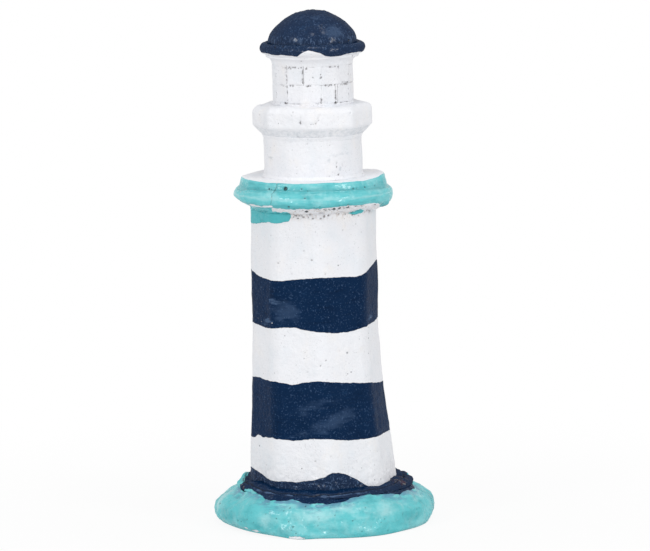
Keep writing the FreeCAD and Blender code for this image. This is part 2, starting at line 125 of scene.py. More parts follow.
class Skin:
    """The closed skin of one piece: rings of points from its underside to its top, worked by hand.

    A row is (share, inset, z): the ring at height z reaches share times (the outline less the inset)."""

    def __init__(self, rows, outline, columns, grain, lean=lambda z: 0.0):
        rows = np.array(rows, float)
        dense = [rows[:1]]
        for last, row in zip(rows, rows[1:]):
            size = float(np.max(outline(np.zeros(1), row[2])))
            run = math.hypot((row[0] - last[0]) * size, row[1] - last[1])
            count = max(1, round(math.hypot(run, row[2] - last[2]) / grain))
            dense.append(last + (row - last) * (np.arange(1, count + 1) / count)[:, None])
        share, inset, z = np.concatenate(dense).T
        self.turn, self.z = np.meshgrid(np.linspace(-180, 180, columns, endpoint=False), z)
        self.share, inset = share[:, None] + 0 * self.turn, inset[:, None]
        self.reach = self.share * (outline(self.turn, self.z) - inset)
        bearing = np.radians(self.turn)
        self.at = np.stack([lean(self.z) + self.reach * np.sin(bearing),
                            -self.reach * np.cos(bearing), self.z], axis=-1)
        self.shade_and_grime = np.zeros_like(self.z)
        self.marks = {}

    def outward(self):
        along = np.roll(self.at, -1, axis=1) - np.roll(self.at, 1, axis=1)
        out = np.cross(along, np.gradient(self.at, axis=0))
        return out / np.maximum(np.linalg.norm(out, axis=-1, keepdims=True), 1e-9)

    def line(self, marks, soft=2.0):
        return by_hand(self.turn, marks, soft)

    def push(self, mm):
        """Moves the skin out by so many millimetres, or in where that is negative."""
        self.at += self.outward() * mm[..., None]

    def wander(self, size, seed, flat=1.0):
        """Smooth lumps of about this size and flatness, from -1 to 1."""
        where = self.at / (size * np.array((1, 1, flat))) + 17.3 * seed
        values = [noise.noise(p) for p in where.reshape(-1, 3).tolist()]
        return np.array(values).reshape(self.z.shape) * 1.6

    def relief(self, *layers):
        """Lumps of several sizes together. Each layer is (size, height, seed) and, if need be, flatness."""
        return sum(self.wander(size, seed, *flat) * height for size, height, seed, *flat in layers)

    def darken(self, share):
        """Dirt, and painted shade, in hollows: the paint reads this share and darkens its colour by it."""
        self.shade_and_grime = np.maximum(self.shade_and_grime, share)

    def bowl(self, centre, width, depth):
        away = np.linalg.norm(self.at - centre, axis=-1)
        hole = 1 - ease(away, width * 0.22, width * 0.6)
        # the hole is darkened: dirt, and painted shade in it
        self.darken(hole * min(1, depth))
        return hole * depth

    def pits(self, places):
        """Each pit is (turn, z, width, depth)."""
        sunk = np.zeros_like(self.z)
        for turn, z, width, depth in places:
            off = (np.abs(self.turn - turn) * 0.5) ** 2 + (self.z - z) ** 2 + 1e3 * (self.share < 0.99)
            spot = np.unravel_index(np.argmin(off), off.shape)
            sunk = np.maximum(sunk, self.bowl(self.at[spot], width, depth))
        self.push(-sunk)

    def air_holes(self, count, smallest, largest, seed, low=-1e9, high=1e9):
        """Holes left by air in the mould, strewn between two heights."""
        draw = random.Random(seed)
        spots = np.argwhere((self.z >= low) & (self.z <= high) & (self.share > 0.6))
        sunk = np.zeros_like(self.z)
        for _ in range(count):
            row, column = spots[draw.randrange(len(spots))]
            width = smallest + (largest - smallest) * draw.random() ** 3
            sunk = np.maximum(sunk, self.bowl(self.at[row, column], width, width * 0.55))
        self.push(-sunk)

    def away_from(self, path):
        """Distance over the skin to a line through (turn, z) points."""
        near = np.full_like(self.z, 1e9)
        across = np.radians(self.turn) * self.reach
        for (turn_a, z_a), (turn_b, z_b) in zip(path, path[1:]):
            a, b = np.radians(turn_a) * self.reach, np.radians(turn_b) * self.reach
            run = (b - a) ** 2 + (z_b - z_a) ** 2
            t = np.clip(((across - a) * (b - a) + (self.z - z_a) * (z_b - z_a)) / run, 0, 1)
            near = np.minimum(near, np.hypot(across - a - t * (b - a), self.z - z_a - t * (z_b - z_a)))
        return near

    def scratch(self, path, width, depth):
        """A crack or a scored line, darkened with dirt and painted shade."""
        line = 1 - ease(self.away_from(path), 0, width / 2)
        self.darken(line * min(1, depth))
        self.push(-line * depth)

    def patches(self, *places):
        """Signed distance, in millimetres, into brushed patches: positive inside. Each patch is
        (turn, z, half its width, half its height) and, if need be, its tilt."""
        def inside(turn, z, half_w, half_h, tilt=0.0):
            across = np.radians(self.turn - turn) * np.maximum(self.reach, 1)
            up = self.z - z - across * tilt
            return (1 - np.hypot(across / half_w, up / half_h)) * min(half_w, half_h)
        return np.max([inside(*place) for place in places], axis=0)

    def mark(self, name, values):
        """Stores a value at each point of the skin, for its paint to read."""
        self.marks[name] = values

    def make(self, name, node):
        rows, columns = self.z.shape
        points = self.at.reshape(-1, 3)
        ends = np.array([self.at[0].mean(axis=0), self.at[-1].mean(axis=0)])
        points = (np.concatenate([points, ends]) + (STACK_X, STACK_Y, 0)) * MM
        corner = np.arange(rows * columns).reshape(rows, columns)
        beside = np.roll(corner, -1, axis=1)
        faces = np.stack([corner[:-1], beside[:-1], beside[1:], corner[1:]], axis=-1).reshape(-1, 4).tolist()
        low, high = rows * columns, rows * columns + 1
        faces += [(low, b, a) for a, b in zip(corner[0].tolist(), beside[0].tolist())]
        faces += [(high, a, b) for a, b in zip(corner[-1].tolist(), beside[-1].tolist())]
        mesh = bpy.data.meshes.new(name)
        mesh.from_pydata(points.tolist(), [], faces)
        mesh.polygons.foreach_set("use_smooth", [True] * len(mesh.polygons))
        for mark, values in {"shade_and_grime": self.shade_and_grime, **self.marks}.items():
            stored = mesh.attributes.new(mark, "FLOAT", "POINT")
            middles = [values[0].mean(), values[-1].mean()]
            stored.data.foreach_set("value", np.concatenate([values.ravel(), middles]).astype(np.float32))
        mesh.update()
        piece = bpy.data.objects.new(name, mesh)
        bpy.context.scene.collection.objects.link(piece)
        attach(piece, "root")
        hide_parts(node)
        return piece


# ---- where each paint was brushed, as {turn: height} marks ------------------------------------

UPPER_BAND_TOP = {-180: 151, -150: 149, -120: 150, -95: 151, -81: 149.4, -69: 147.1, -53: 146, -40: 145.7,
    -32: 146, -17: 147.1, 2: 148.2, 23: 147.7, 43: 147.3, 48: 148, 66: 150.9, 88: 153.5, 110: 152, 140: 148,
    165: 150}
UPPER_BAND_FOOT = {-180: 118, -150: 119.5, -120: 117, -98: 118, -80: 118.5, -61: 117.5, -46: 117.6,
    -32: 118.7, -19: 119.1, -15: 118.2, -4: 117, 6: 116.3, 20: 115.3, 33: 115.4, 44: 116.6, 58: 117.6,
    80: 118, 90: 119.5, 115: 118, 145: 116.5}
LOWER_BAND_TOP = {-180: 84, -150: 86, -120: 87.5, -95: 86, -80: 86.4, -69: 87.5, -58: 86.8, -39: 87.1,
    -28: 86.2, -23.5: 85.4, -15: 86.9, -4: 87.9, 5: 88.2, 14: 87.2, 31: 85.9, 48: 84.9, 80: 81.8, 92: 81.5,
    120: 83, 150: 85}
LOWER_BAND_FOOT = {-180: 52, -140: 54, -100: 51.5, -80: 51, -76: 50.8, -70: 53.6, -66: 53.6, -60: 52.3,
    -55: 53.5, -50: 53.3, -45: 54.3, -41: 53.6, -31: 53.7, -25: 53, -17: 53.7, -7: 54.6, 6: 54.7, 21: 53,
    32: 52.5, 43: 52.6, 59: 52.8, 92: 52.3, 120: 51, 150: 53.5}
FOOT_PAINT_TOP = {-180: 31, -150: 33, -115: 30, -82: 33.2, -69: 31.7, -55: 29.7, -46: 28.8, -35: 29.3,
    -22: 29.2, -9: 30.5, 1: 32.5, 6: 34.6, 11: 35.1, 19: 33.6, 27: 30.5, 35: 26.9, 39: 24.8, 45: 23.4,
    59: 22.6, 81: 23.6, 92: 26.4, 112: 31, 145: 29}
# how far the foot's paint spreads over the fillet and the plinth, from the middle of the tower's foot
FOOT_PAINT_REACH = {-180: 52, -155: 52, -125: 47, -100: 45.8, -84: 47, -76: 50.5, -68: 50.9, -60: 49.8,
    -48: 50.7, -39: 54.2, -31: 56.8, -28: 55.8, -22: 54.2, -17: 54.0, -12: 54.6, -7: 56.0, -1: 54.6, 12: 54.4,
    16: 53.0, 21: 51.0, 30: 50.2, 38: 50.9, 45: 53.1, 55: 54.3, 61: 53.3, 79: 54.2, 89: 52.5, 103: 50.5,
    126: 54, 150: 53}
# a crease runs through the fillet where its ledge begins, this far from the middle of the tower's foot
FILLET_CREASE = {-180: 47.5, -110: 47.4, -80: 46.6, -48: 48.3, -29: 48.3, -16: 49.3, -6: 49.7, 4: 48.4,
    15: 47.7, 44: 47.1, 70: 46.8, 100: 47.4, 140: 48.2}
# where the turquoise stops on the gallery's underside, and how far its crease, rim and top rise or dip
GALLERY_PAINT_FOOT = {-180: 189.6, -150: 190.2, -138: 183, -45: 183, -37: 187, -33: 189.3, -25: 189.4,
    -16: 188.7, -10: 189.2, 1: 189.4, 12: 189.7, 24: 190.1, 37: 190.1, 48: 190.5, 56: 190.2, 66: 188.0,
    78: 186.0, 100: 186.6, 115: 188.4, 130: 183, 148: 183, 156: 189.6}
GALLERY_CREASE_LIFT = {-180: 0, -120: 0.3, -85: -0.9, -62: 0.1, -35: 0.6, 0: 0.6, 30: 0.3, 60: -0.2, 82: -1.0,
    110: 0, 150: 0.5}
GALLERY_RIM_LIFT = {-180: 0, -125: 0.5, -88: 2.0, -62: 0.9, -25: 0, 20: 0, 45: -0.3, 68: -1.5, 95: -1.8,
    120: -0.3, 150: 0}
GALLERY_TOP_LIFT = {-180: 0, -60: 0, 45: 0, 75: 0.7, 100: 0.9, 130: 0.1}
# how far down the turquoise ran over the tower, and the right side of its drip in front, as {height: turn}
DRIP_FOOT = {-180: 192, -140: 191, -120: 183, -108: 178.5, -95: 176, -74: 177, -46: 179.6, -39: 179.1,
    -33: 179.5, -26: 180.4, -20: 181.5, 20: 192, 120: 192, 135: 184, 146: 183, 155: 192}
DRIP_SIDE = {176: -25, 181: -24, 183.5: -21.7, 185.2: -22.8, 187.8: -26, 192: -30}
ROOF_PAINT_EDGE = {-180: 275.4, -150: 276.2, -120: 275.2, -90: 275.8, -64: 276.2, -45: 275.7, -37: 276.2,
    -21: 275.3, -18: 275, -15: 276.4, -11: 277.7, -5: 278.9, 1: 278.3, 9: 276.9, 16: 275.1, 31: 274.6,
    37: 275.3, 45: 276, 63: 276, 90: 275.4, 125: 276.2, 150: 275.2}

# pinholes along the lines between the lantern room's panes: (turn, low, high, how many), then
# (height, left, right, how many)
PANE_DOTS_UP = (
    (-40, 247, 269, 15), (-15, 258, 267, 10), (11.5, 247, 252, 4), (11.5, 261, 266, 5),
    (34.5, 247, 257.5, 12), (62, 248, 266, 7), (-66, 248, 266, 5), (115, 247, 268, 14), (-140, 247, 268, 14))
PANE_DOTS_ROUND = (
    (268, -51, -13, 14), (268, -10, -3, 4), (268, 24, 44, 5), (257.7, -10, 0, 4), (257.7, 17, 34, 7),
    (257.7, 46, 64, 12), (257.6, -56, -26, 5), (247, -36, -28, 3), (247, 5, 9, 2), (247, 40, 60, 7),
    (268, 100, 170, 16), (257.7, -170, -120, 12))


# ---- the pieces -------------------------------------------------------------------------------

def strewn(draw, count, turns, heights, widths, depth=0.7):
    """Pits strewn by chance, between two turns, two heights and two widths."""
    return [(draw.uniform(*turns), draw.uniform(*heights), draw.uniform(*widths), depth)
            for _ in range(count)]


# how far the plinth's edge stands out or in from a circle, turn by turn
PLINTH_OUTLINE = {-150: 0.8, -120: -0.9, -100: 0.2, -80: 0.6, -60: -0.4, -45: 0.3, -30: -0.6, -20: -0.4,
    -12: 0.4, 0: -1.5, 15: -0.4, 30: 0.6, 50: -0.8, 62: 0.6, 80: 0.9, 95: 0.2, 120: -0.8, 150: 0.5, 180: -0.5}
# how far the plinth's bottom edge draws in under its widest line
PLINTH_TUCK = {-180: 2.5, -120: 3, -90: 2.6, -70: 3.8, -50: 3.4, -35: 2.4, -24: 1.2, -14: -0.8, -5: 1.2,
    15: 1.0, 35: 0.6, 60: 1.0, 75: 1.6, 88: 3.6, 110: 2.6, 150: 2.8}
# how far the bottom edge stands clear of the ground, and how far the shoulder is drawn in
PLINTH_LIFT = {-180: 0, -140: 0.6, -110: 0, -85: 1.0, -62: 1.2, -42: 1.2, -30: 0.8, -20: 0.2, -14: 0, -5: 0.2,
    20: 0, 60: 0, 90: 0.3, 120: 0, 150: 0.5}
PLINTH_SHOULDER_IN = {-180: 0.5, -130: 1, -98: 2.4, -75: 1.2, -50: 0, 0: 0, 50: 0, 72: 1.5, 88: 4.0, 108: 3.6,
    140: 1.0}


def plinth_outline(turn, z):
    lump = by_hand(turn, PLINTH_OUTLINE, 5)
    drawn_in = by_hand(turn, PLINTH_SHOULDER_IN, 5) * ease(z, 11, 19)
    return PLINTH_R + lump * (1 - 0.7 * ease(z, PLINTH_SHOULDER_H - 4, PLINTH_TOP)) - drawn_in


def from_tower_foot(skin):
    return np.hypot(skin.at[..., 0] - TOWER_FOOT_SHIFT, skin.at[..., 1])


def make_plinth():
    """A thick pad, pressed by hand and undercut at the ground."""
    shoulder = PLINTH_R - PLINTH_LAND_R
    rows = [(0.7, PLINTH_UNDERCUT + 1, 0), (1, PLINTH_UNDERCUT + 1.2, 0), (1, PLINTH_UNDERCUT, 0.5),
            (1, 1.2, 2.6), (1, 0.2, 5.5), (1, 0, PLINTH_WIDEST_H), (1, 0.7, 11.5), (1, 2.2, 14.5),
            (1, 4.3, 17.0), (1, 6.8, 18.8), (1, shoulder - 1.5, 20.8), (1, shoulder, PLINTH_TOP - 0.2),
            (1, shoulder + 8, PLINTH_TOP), (0.5, 0, PLINTH_TOP)]
    skin = Skin(rows, plinth_outline, columns=620, grain=0.62, lean=lambda z: TOWER_FOOT_SHIFT)
    edge_h = 7
    bearing = np.radians(skin.turn)
    tuck = skin.line(PLINTH_TUCK, 4) - PLINTH_UNDERCUT
    tuck *= (1 - ease(skin.z, 0.5, edge_h)) * skin.share
    lift = skin.line(PLINTH_LIFT, 4) * (1 - ease(skin.z, 0.3, edge_h)) * ease(skin.reach, 50, 58)
    skin.at += np.stack([-np.sin(bearing) * tuck, np.cos(bearing) * tuck, lift], axis=-1)
    smeared = 1 - 2 * np.abs(skin.wander(17, 35, 0.55))
    lumps = skin.relief((26, 1.0, 1), (8, 0.5, 2, 0.7), (3, 0.17, 3), (1.4, 0.1, 36)) + smeared * 0.42
    skin.push(ease(skin.z, 0, 2.5) * lumps)
    skin.pits([
        (-78.4, 13, 1.6, 0.9), (-52.9, 7.6, 1.7, 0.8), (-49.3, 7.1, 1.3, 0.8), (-44, 9, 1.1, 0.6),
        (-23.4, 15.8, 1.2, 0.6), (-19.7, 17.2, 1.5, 0.7), (-19.7, 10.6, 1.2, 0.6), (-16.7, 7.4, 1.5, 0.7),
        (-17.5, 5.8, 0.9, 0.5), (-15, 4, 1.3, 0.6), (-31, 14.5, 0.9, 0.5), (-33, 13.6, 1.1, 0.5),
        (95, 6, 2, 0.8), (140, 12, 2.2, 0.8), (-150, 8, 2.2, 0.9)])
    skin.air_holes(150, 0.6, 1.4, seed=11, low=2, high=21)
    navy = skin.line(FOOT_PAINT_REACH) - from_tower_foot(skin)
    skin.mark("navy", np.where(skin.z < PLINTH_WIDEST_H, navy - 50, navy))
    pale_wear_and_highlight = [(-5, 13, 14, 5), (12, 17, 12, 3), (-20, 17.5, 9, 2.5), (35, 14, 9, 5), (-82, 14, 6, 6),
            (-33, 10, 6, 4), (68, 17, 8, 2.5), (120, 14, 16, 4), (170, 12, 12, 5), (-125, 15, 14, 4)]
    skin.mark("pale_wear_and_highlight", skin.patches(*pale_wear_and_highlight))
    # deeper turquoise in patches, and painted shade along the bottom edge
    deep_paint_and_shade = [(-66, 8, 13, 5), (-30, 8, 5, 5), (-22, 4, 8, 3), (3, 5.5, 12, 2), (52, 8, 13, 4.5),
              (84, 12, 9, 5), (-92, 14, 7, 5), (140, 7, 16, 4), (-150, 8, 14, 5)]
    skin.mark("deep_paint_and_shade", np.maximum(skin.patches(*deep_paint_and_shade), 2.0 - skin.z * 0.7))
    chips = [(-46.6, 3.1, 1.4, 0.9), (-40.2, 2.2, 3.0, 0.9), (-15, 0.9, 4.0, 1.0), (120, 1, 4, 1)]
    skin.mark("chip", skin.patches(*chips))
    paint_wraps_under = 5.5
    skin.mark("unpainted", np.where(skin.z < 1, PLINTH_R - paint_wraps_under - skin.reach, NOWHERE))
    return skin.make("plinth_casting", "plinth")


def make_fillet():
    """Mortar pressed into the corner between tower and plinth: a rough sloping ledge."""
    lift = {-180: 0.8, -120: 0.2, -85: -0.3, -60: 0.0, -30: -0.6, 0: -1.2, 30: -0.8, 60: -0.5, 88: -0.9,
        112: -0.3, 135: 0.4}
    spread = {-180: 0, -60: 0, 40: 0, 62: 0.6, 80: 1.6, 100: 1.4, 130: 0}
    rows = [(1, 12, PLINTH_TOP - 1.5), (1, 1.5, PLINTH_TOP - 1.5), (1, 0, PLINTH_TOP - 0.4),
            (1, 0.7, PLINTH_TOP + 1.5), (1, 1.9, PLINTH_TOP + 2.7), (1, 4.2, PLINTH_TOP + 3.4),
            (1, 7.0, PLINTH_TOP + 3.8), (1, 9.2, PLINTH_TOP + 4.0), (1, 12, PLINTH_TOP + 3.2)]

    def outline(turn, z):
        return TOWER_FOOT_R + FILLET_REACH + by_hand(turn, spread, 6) + 0 * z

    skin = Skin(rows, outline, columns=560, grain=0.52, lean=lambda z: TOWER_FOOT_SHIFT)
    skin.at[..., 2] += ease(skin.z, PLINTH_TOP, PLINTH_TOP + 3) * skin.line(lift, 6)
    from_foot = from_tower_foot(skin)
    past_crease = from_foot - skin.line(FILLET_CREASE, 3)
    crease = 1 - ease(np.abs(past_crease - 0.5 * skin.wander(6, 37)), 0.1, 1.0)
    rocky = 0.22 + 0.78 * ease(np.abs(skin.turn), 42, 76)
    rocks = skin.relief((5, 0.75, 5), (1.9, 0.34, 6)) * rocky
    above_plinth = ease(skin.z, PLINTH_TOP - 1, PLINTH_TOP + 1)
    skin.push(above_plinth * (skin.relief((15, 0.6, 4)) + rocks - crease * 0.6))
    # the crease is darkened: dirt, and painted shade in it
    skin.darken(crease * 0.6)
    skin.pits([(-79, 25.5, 2.4, 1.2), (-70, 24, 2.2, 1.0), (80, 25.5, 2.6, 1.2), (88, 26, 2.2, 1.0),
               (64, 24.5, 2.0, 0.9), (-20, 24.5, 1.8, 0.8), (10, 25, 2.0, 0.8), (150, 25, 2.6, 1.2)])
    skin.mark("navy", skin.line(FOOT_PAINT_REACH) - from_foot)
    wear_and_sheen = [(-76, 23.5, 4, 1.5), (-68, 23, 3, 1.2), (68, 24.8, 6, 1.7), (84, 26, 4, 1.5), (160, 25, 6, 1.4)]
    skin.mark("wear_and_sheen", skin.patches(*wear_and_sheen))
    # a pale line along the ridge of the fillet's crease in front: a painted highlight
    skin.mark("crease_highlight", 0.9 - np.abs(past_crease - 1.3) - 3 * ease(np.abs(skin.turn + 10), 40, 60))
    return skin.make("foot_fillet_mortar", "foot_fillet")


def tower_flare(z):
    return np.maximum(0, 1 - (z - TOWER_FOOT) / TOWER_FLARE_H) ** TOWER_FLARE_POWER


def tower_outline(turn, z):
    width = (TOWER_TOP_W + TOWER_TAPER * (TOWER_TOP - z) / (TOWER_TOP - TOWER_FOOT)
             + TOWER_FLARE * tower_flare(z))
    return soft_polygon(turn, width, TOWER_CORNER_R, 8, TOWER_TWIST)


def navy_on_tower(skin):
    def between(top, foot):
        return np.minimum(skin.line(top) - skin.z, skin.z - skin.line(foot))
    return np.max([between(UPPER_BAND_TOP, UPPER_BAND_FOOT), between(LOWER_BAND_TOP, LOWER_BAND_FOOT),
                   skin.line(FOOT_PAINT_TOP) - skin.z], axis=0)


def turquoise_on_tower(skin):
    side = np.interp(skin.z, [*DRIP_SIDE], [*DRIP_SIDE.values()])
    right = np.radians(side - skin.turn) * skin.reach
    drip = skin.z - skin.line(DRIP_FOOT)
    front = (skin.turn > -100) & (skin.turn < 100)
    drip = np.where(front, np.minimum(drip, right), drip)
    return np.maximum(drip, skin.patches((47, 184.9, 3.2, 1.25, 0.04), (41, 184.2, 3.4, 0.8, 0.02)))


def make_tower():
    """Eight soft-cornered sides that flare at the foot."""
    rows = [(0.93, 0, TOWER_FOOT), (1, 0, TOWER_FOOT), (1, 0, TOWER_TOP - 0.5), (1, 0.5, TOWER_TOP),
            (0.93, 0, TOWER_TOP)]
    skin = Skin(rows, tower_outline, columns=440, grain=0.75,
                lean=lambda z: TOWER_FOOT_SHIFT * tower_flare(z))
    skin.push(skin.relief((34, 0.45, 7), (11, 0.2, 8), (3.4, 0.08, 9), (1.9, 0.05, 38)))
    skin.pits([
        (-10, 163.5, 1.3, 0.5), (-12, 168, 1.1, 0.35), (-2.5, 158.5, 1.6, 0.6), (-44, 134, 1.6, 0.3),
        (-60, 121, 1.8, 0.3), (-48, 119.5, 1.6, 0.3), (-43, 172, 1.5, 0.4), (-35, 156, 1.6, 0.5),
        (10, 150.5, 1.3, 0.5), (-22, 150, 1.3, 0.4), (-9, 93, 1.4, 0.4), (-20, 97, 1.2, 0.4),
        (-6, 42, 1.6, 0.5), (-9, 45, 1.1, 0.4)])
    skin.pits(strewn(random.Random(5), 34, (-20, 75), (TOWER_TOP - 0.2, TOWER_TOP - 2.6), (0.9, 1.7)))
    skin.air_holes(150, 0.5, 1.2, seed=12)
    skin.push(skin.relief((1.7, 0.16, 43), (3.2, 0.16, 44)) * (1 - ease(skin.z, 30, 44)))
    turquoise = turquoise_on_tower(skin)
    skin.push(0.35 * ease(turquoise, -0.4, 0.9))
    skin.mark("navy", navy_on_tower(skin))
    skin.mark("turquoise", turquoise)
    scuffs = skin.patches((-40, 133.5, 8, 2.4, -0.1), (-52, 121.5, 8, 2.6, 0.1), (66, 121.5, 7, 2.2, 0.2),
                          (-16, 57.5, 9, 1.2, 0.35), (140, 70, 18, 4, -0.2), (-130, 130, 15, 3, 0.2))
    skin.mark("scuff", np.maximum(scuffs, 1.0 - 1.4 * skin.away_from([(-46.5, 148), (-46, 127)])))
    hazes = [(12, 64, 17, 5, 0.35), (-8, 72, 12, 3, 0.3), (-28, 128, 10, 6), (150, 60, 20, 6, 0.3)]
    skin.mark("haze", skin.patches(*hazes))
    flecks = [
        (32.1, 132.6, 0.55), (-70, 121.9, 0.5), (-44.4, 123.6, 0.45), (-42.9, 121, 0.6), (-31.2, 123.8, 0.45),
        (-63, 120.4, 0.5), (68, 121.0, 0.5), (80, 122.4, 0.55), (-130, 70, 0.8), (150, 126, 0.7)]
    skin.mark("bare", skin.patches(*((turn, z, size * 1.3, size * 0.75) for turn, z, size in flecks)) - 0.12)
    skin.mark("stucco", 1 - ease(skin.z, 32, 42))
    skin.mark("crumbs", ease(skin.z, TOWER_TOP - 5, TOWER_TOP - 0.5))
    return skin.make("tower_casting", "tower_shaft")


def open_gaps(skin):
    """Gaps between the crumbs on the gallery's underside."""
    gaps = skin.patches(
        (-5.5, 187.8, 1.2, 0.7), (1.6, 188.7, 0.8, 0.35), (4.8, 188.5, 0.9, 0.4), (8.7, 188.6, 1.0, 0.45),
        (12, 188.4, 0.7, 0.4), (15.2, 188.5, 1.4, 0.6), (20.6, 188.4, 1.1, 0.8), (27.5, 188.6, 0.9, 0.5),
        (31, 188.2, 0.8, 0.6), (34.5, 188.9, 1.1, 0.5), (40, 189.1, 0.9, 0.4), (53, 189.2, 1.0, 0.5),
        (64, 188.9, 1.0, 0.9), (70, 188.6, 1.1, 1.0), (125, 188, 1.3, 0.6), (-170, 188.4, 1.2, 0.6))
    gaps += 0.22 * skin.wander(1.6, 45)
    skin.push(-0.7 * ease(gaps, -0.1, 0.3))
    # the gaps are darkened: dirt, and painted shade in them
    skin.darken(0.9 * ease(gaps, -0.1, 0.25))


def make_gallery():
    """A slab in two tiers, cast in one, with a coned and crumbly underside."""
    z, step = GALLERY_FOOT, GALLERY_FOOT + FLANGE_H
    rim = FLANGE_BOW
    tier = FLANGE_R - TIER_R
    top_edge = tier + TIER_DRAFT
    rows = [(1, 16, z), (1, FLANGE_R - GALLERY_FOOT_R, z), (1, rim + 0.5, z + FLANGE_CONE_H - 0.2),
            (1, rim - 0.6, z + FLANGE_CONE_H + 0.5), (1, 0.3, z + 4.9), (1, 0, z + 6.6), (1, 0.3, z + 8.6),
            (1, 1.1, step - 1.1), (1, 2.0, step - 0.35), (1, tier - 0.15, step), (1, tier + 0.1, step + 0.3),
            (1, tier + 0.15, step + 1.2), (1, top_edge - 0.2, GALLERY_TOP - 1.3)]
    rows += arc(top_edge + 1.2, GALLERY_TOP - 1.2, 1.2, 20, 90, 5)
    rows += [(1, 12, GALLERY_TOP), (1, 24, GALLERY_TOP)]
    skin = Skin(rows, round_outline(FLANGE_R), columns=600, grain=0.42)
    rim_z = 188.6
    at_crease = 1 - ease(np.abs(skin.z - step), 0.5, 4.5)
    at_rim = 1 - ease(np.abs(skin.z - rim_z), 1.0, 5.0)
    at_top = ease(skin.z, step + 1.5, GALLERY_TOP - 1) * ease(skin.reach, 34, 41)
    skin.at[..., 2] += (skin.line(GALLERY_CREASE_LIFT, 4) * at_crease
                        + skin.line(GALLERY_RIM_LIFT, 6) * at_rim
                        + skin.line(GALLERY_TOP_LIFT, 6) * at_top)
    skin.push(skin.relief((20, 0.42, 10, 0.5), (7, 0.2, 11, 0.6), (2.6, 0.1, 12, 0.7)))
    crumbly = ease(skin.line(GALLERY_PAINT_FOOT) - skin.z, -0.4, 0.6)
    skin.push(crumbly * skin.relief((1.9, 0.5, 39), (3.8, 0.35, 40)))
    lump_at = (41.5, -14.0, 187.4)
    skin.push(1 - ease(np.linalg.norm(skin.at - lump_at, axis=-1), 0.8, 4.5))
    skin.scratch([(-30.3, 203.6), (-29.6, 202), (-30.6, 199.5), (-32.4, 197.5), (-31.4, 194), (-32.3, 191.5)],
                 1.0, 0.55)
    skin.scratch([(turn, step + 0.5 + float(by_hand(np.array(turn), GALLERY_CREASE_LIFT, 4)))
                  for turn in range(-180, 181, 6)], 1.2, 0.3)
    skin.pits([
        (-22.1, 200.2, 2.7, 1.6), (-36.3, 199.7, 1.4, 0.8), (-34.5, 199.3, 1.0, 0.6), (-9, 200.3, 1.2, 0.6),
        (-4.3, 198.8, 1.0, 0.5), (-2.5, 198.6, 0.9, 0.4), (32.8, 199.2, 1.4, 0.6), (36, 199.0, 1.0, 0.5),
        (45, 199.4, 1.3, 0.7), (56.7, 199.6, 1.2, 0.6), (130, 199, 1.6, 0.8), (-120, 200, 1.5, 0.8),
        (-6.5, 187.4, 1.8, 0.9), (3.2, 189.1, 1.2, 0.7), (9.5, 187.5, 1.3, 0.7), (16.2, 187.6, 1.2, 0.7),
        (21.2, 186.9, 1.4, 0.8), (32.2, 189.2, 1.2, 0.6), (36.3, 187.2, 1.4, 0.7), (52, 189.6, 1.6, 0.8),
        (56, 188.6, 1.3, 0.8), (72.4, 188.4, 1.5, 0.8)])
    skin.pits(strewn(random.Random(8), 44, (-22, 96), (187.6, 190.4), (0.9, 1.6)))
    skin.air_holes(50, 0.8, 1.5, seed=13)
    open_gaps(skin)
    ledge = FLANGE_R - top_edge - 0.75 - skin.reach + 0.25 * skin.wander(9, 41)
    # painted shade in the tier's lower part and under the flange's rim
    over_crease = 1 - np.abs(skin.z - step - 1.7) / 2.4
    skin.mark("deep_paint_and_shade", np.maximum(over_crease, 1.2 - np.abs(skin.z - z - 3.2) / 2.2))
    # painted highlight along the top of the flange's bulge
    skin.mark("pale_wear_and_highlight", 1 - np.abs(skin.z - z - 8.2) / 1.3)
    skin.mark("white", np.where(skin.z > GALLERY_TOP - 2.4, ledge, NOWHERE))
    skin.mark("underside", skin.line(GALLERY_PAINT_FOOT, 1.5) - skin.z)
    chips = [(-49, 189.2, 5.5, 0.8, -0.06), (-37, 189.6, 4.5, 0.7, 0.14), (150, 188, 8, 1.0)]
    skin.mark("chip", skin.patches(*chips))
    return skin.make("gallery_casting", "gallery_ring")


def make_watch_room():
    """A plain drum."""
    rows = [(1, 12, WATCH_FOOT - 0.4), (1, 0, WATCH_FOOT - 0.4), (1, 0, WATCH_TOP), (1, 12, WATCH_TOP)]
    skin = Skin(rows, round_outline(WATCH_R), columns=440, grain=0.42, lean=lambda z: WATCH_SHIFT)
    skin.push(skin.relief((18, 0.35, 14), (6, 0.16, 15), (2.2, 0.08, 16)))
    skin.pits([
        (29, 213.2, 1.0, 0.5), (28.9, 210.9, 1.2, 0.6), (31.3, 206.3, 1.2, 0.8), (31.3, 204.9, 1.0, 0.6),
        (18.5, 205.6, 1.0, 0.6), (23, 208, 0.8, 0.4), (-60, 216, 1.1, 0.3), (-35, 209, 0.9, 0.3)])
    skin.scratch([(28.2, 214.5), (29.2, 212), (28.6, 210.3)], 0.8, 0.3)
    skin.air_holes(110, 0.5, 1.0, seed=17)
    skin.mark("grey_patch_and_shade", skin.patches((25.5, 217.5, 4.0, 0.8), (35, 218.2, 5.5, 0.8), (19, 215, 1.0, 2.2),
                                     (33, 209.5, 1.6, 1.6), (-57, 216, 4, 1.0), (150, 214, 6, 1.2)))
    return skin.make("watch_room_casting", "watch_room")


def parapet_outline(turn, z):
    """Nearly round at the foot and a crisp octagon from the top of the cone up."""
    octagon = soft_polygon(turn, PARAPET_W, PARAPET_CORNER_R, 8, PARAPET_TWIST)
    foot_w = 2 * (WATCH_R + 0.8)
    rounder = soft_polygon(turn, foot_w, foot_w * 0.4, 8, PARAPET_TWIST)
    up = np.clip((z - PARAPET_FOOT) / PARAPET_CONE_H, 0, 1)
    return rounder + (octagon - rounder) * up


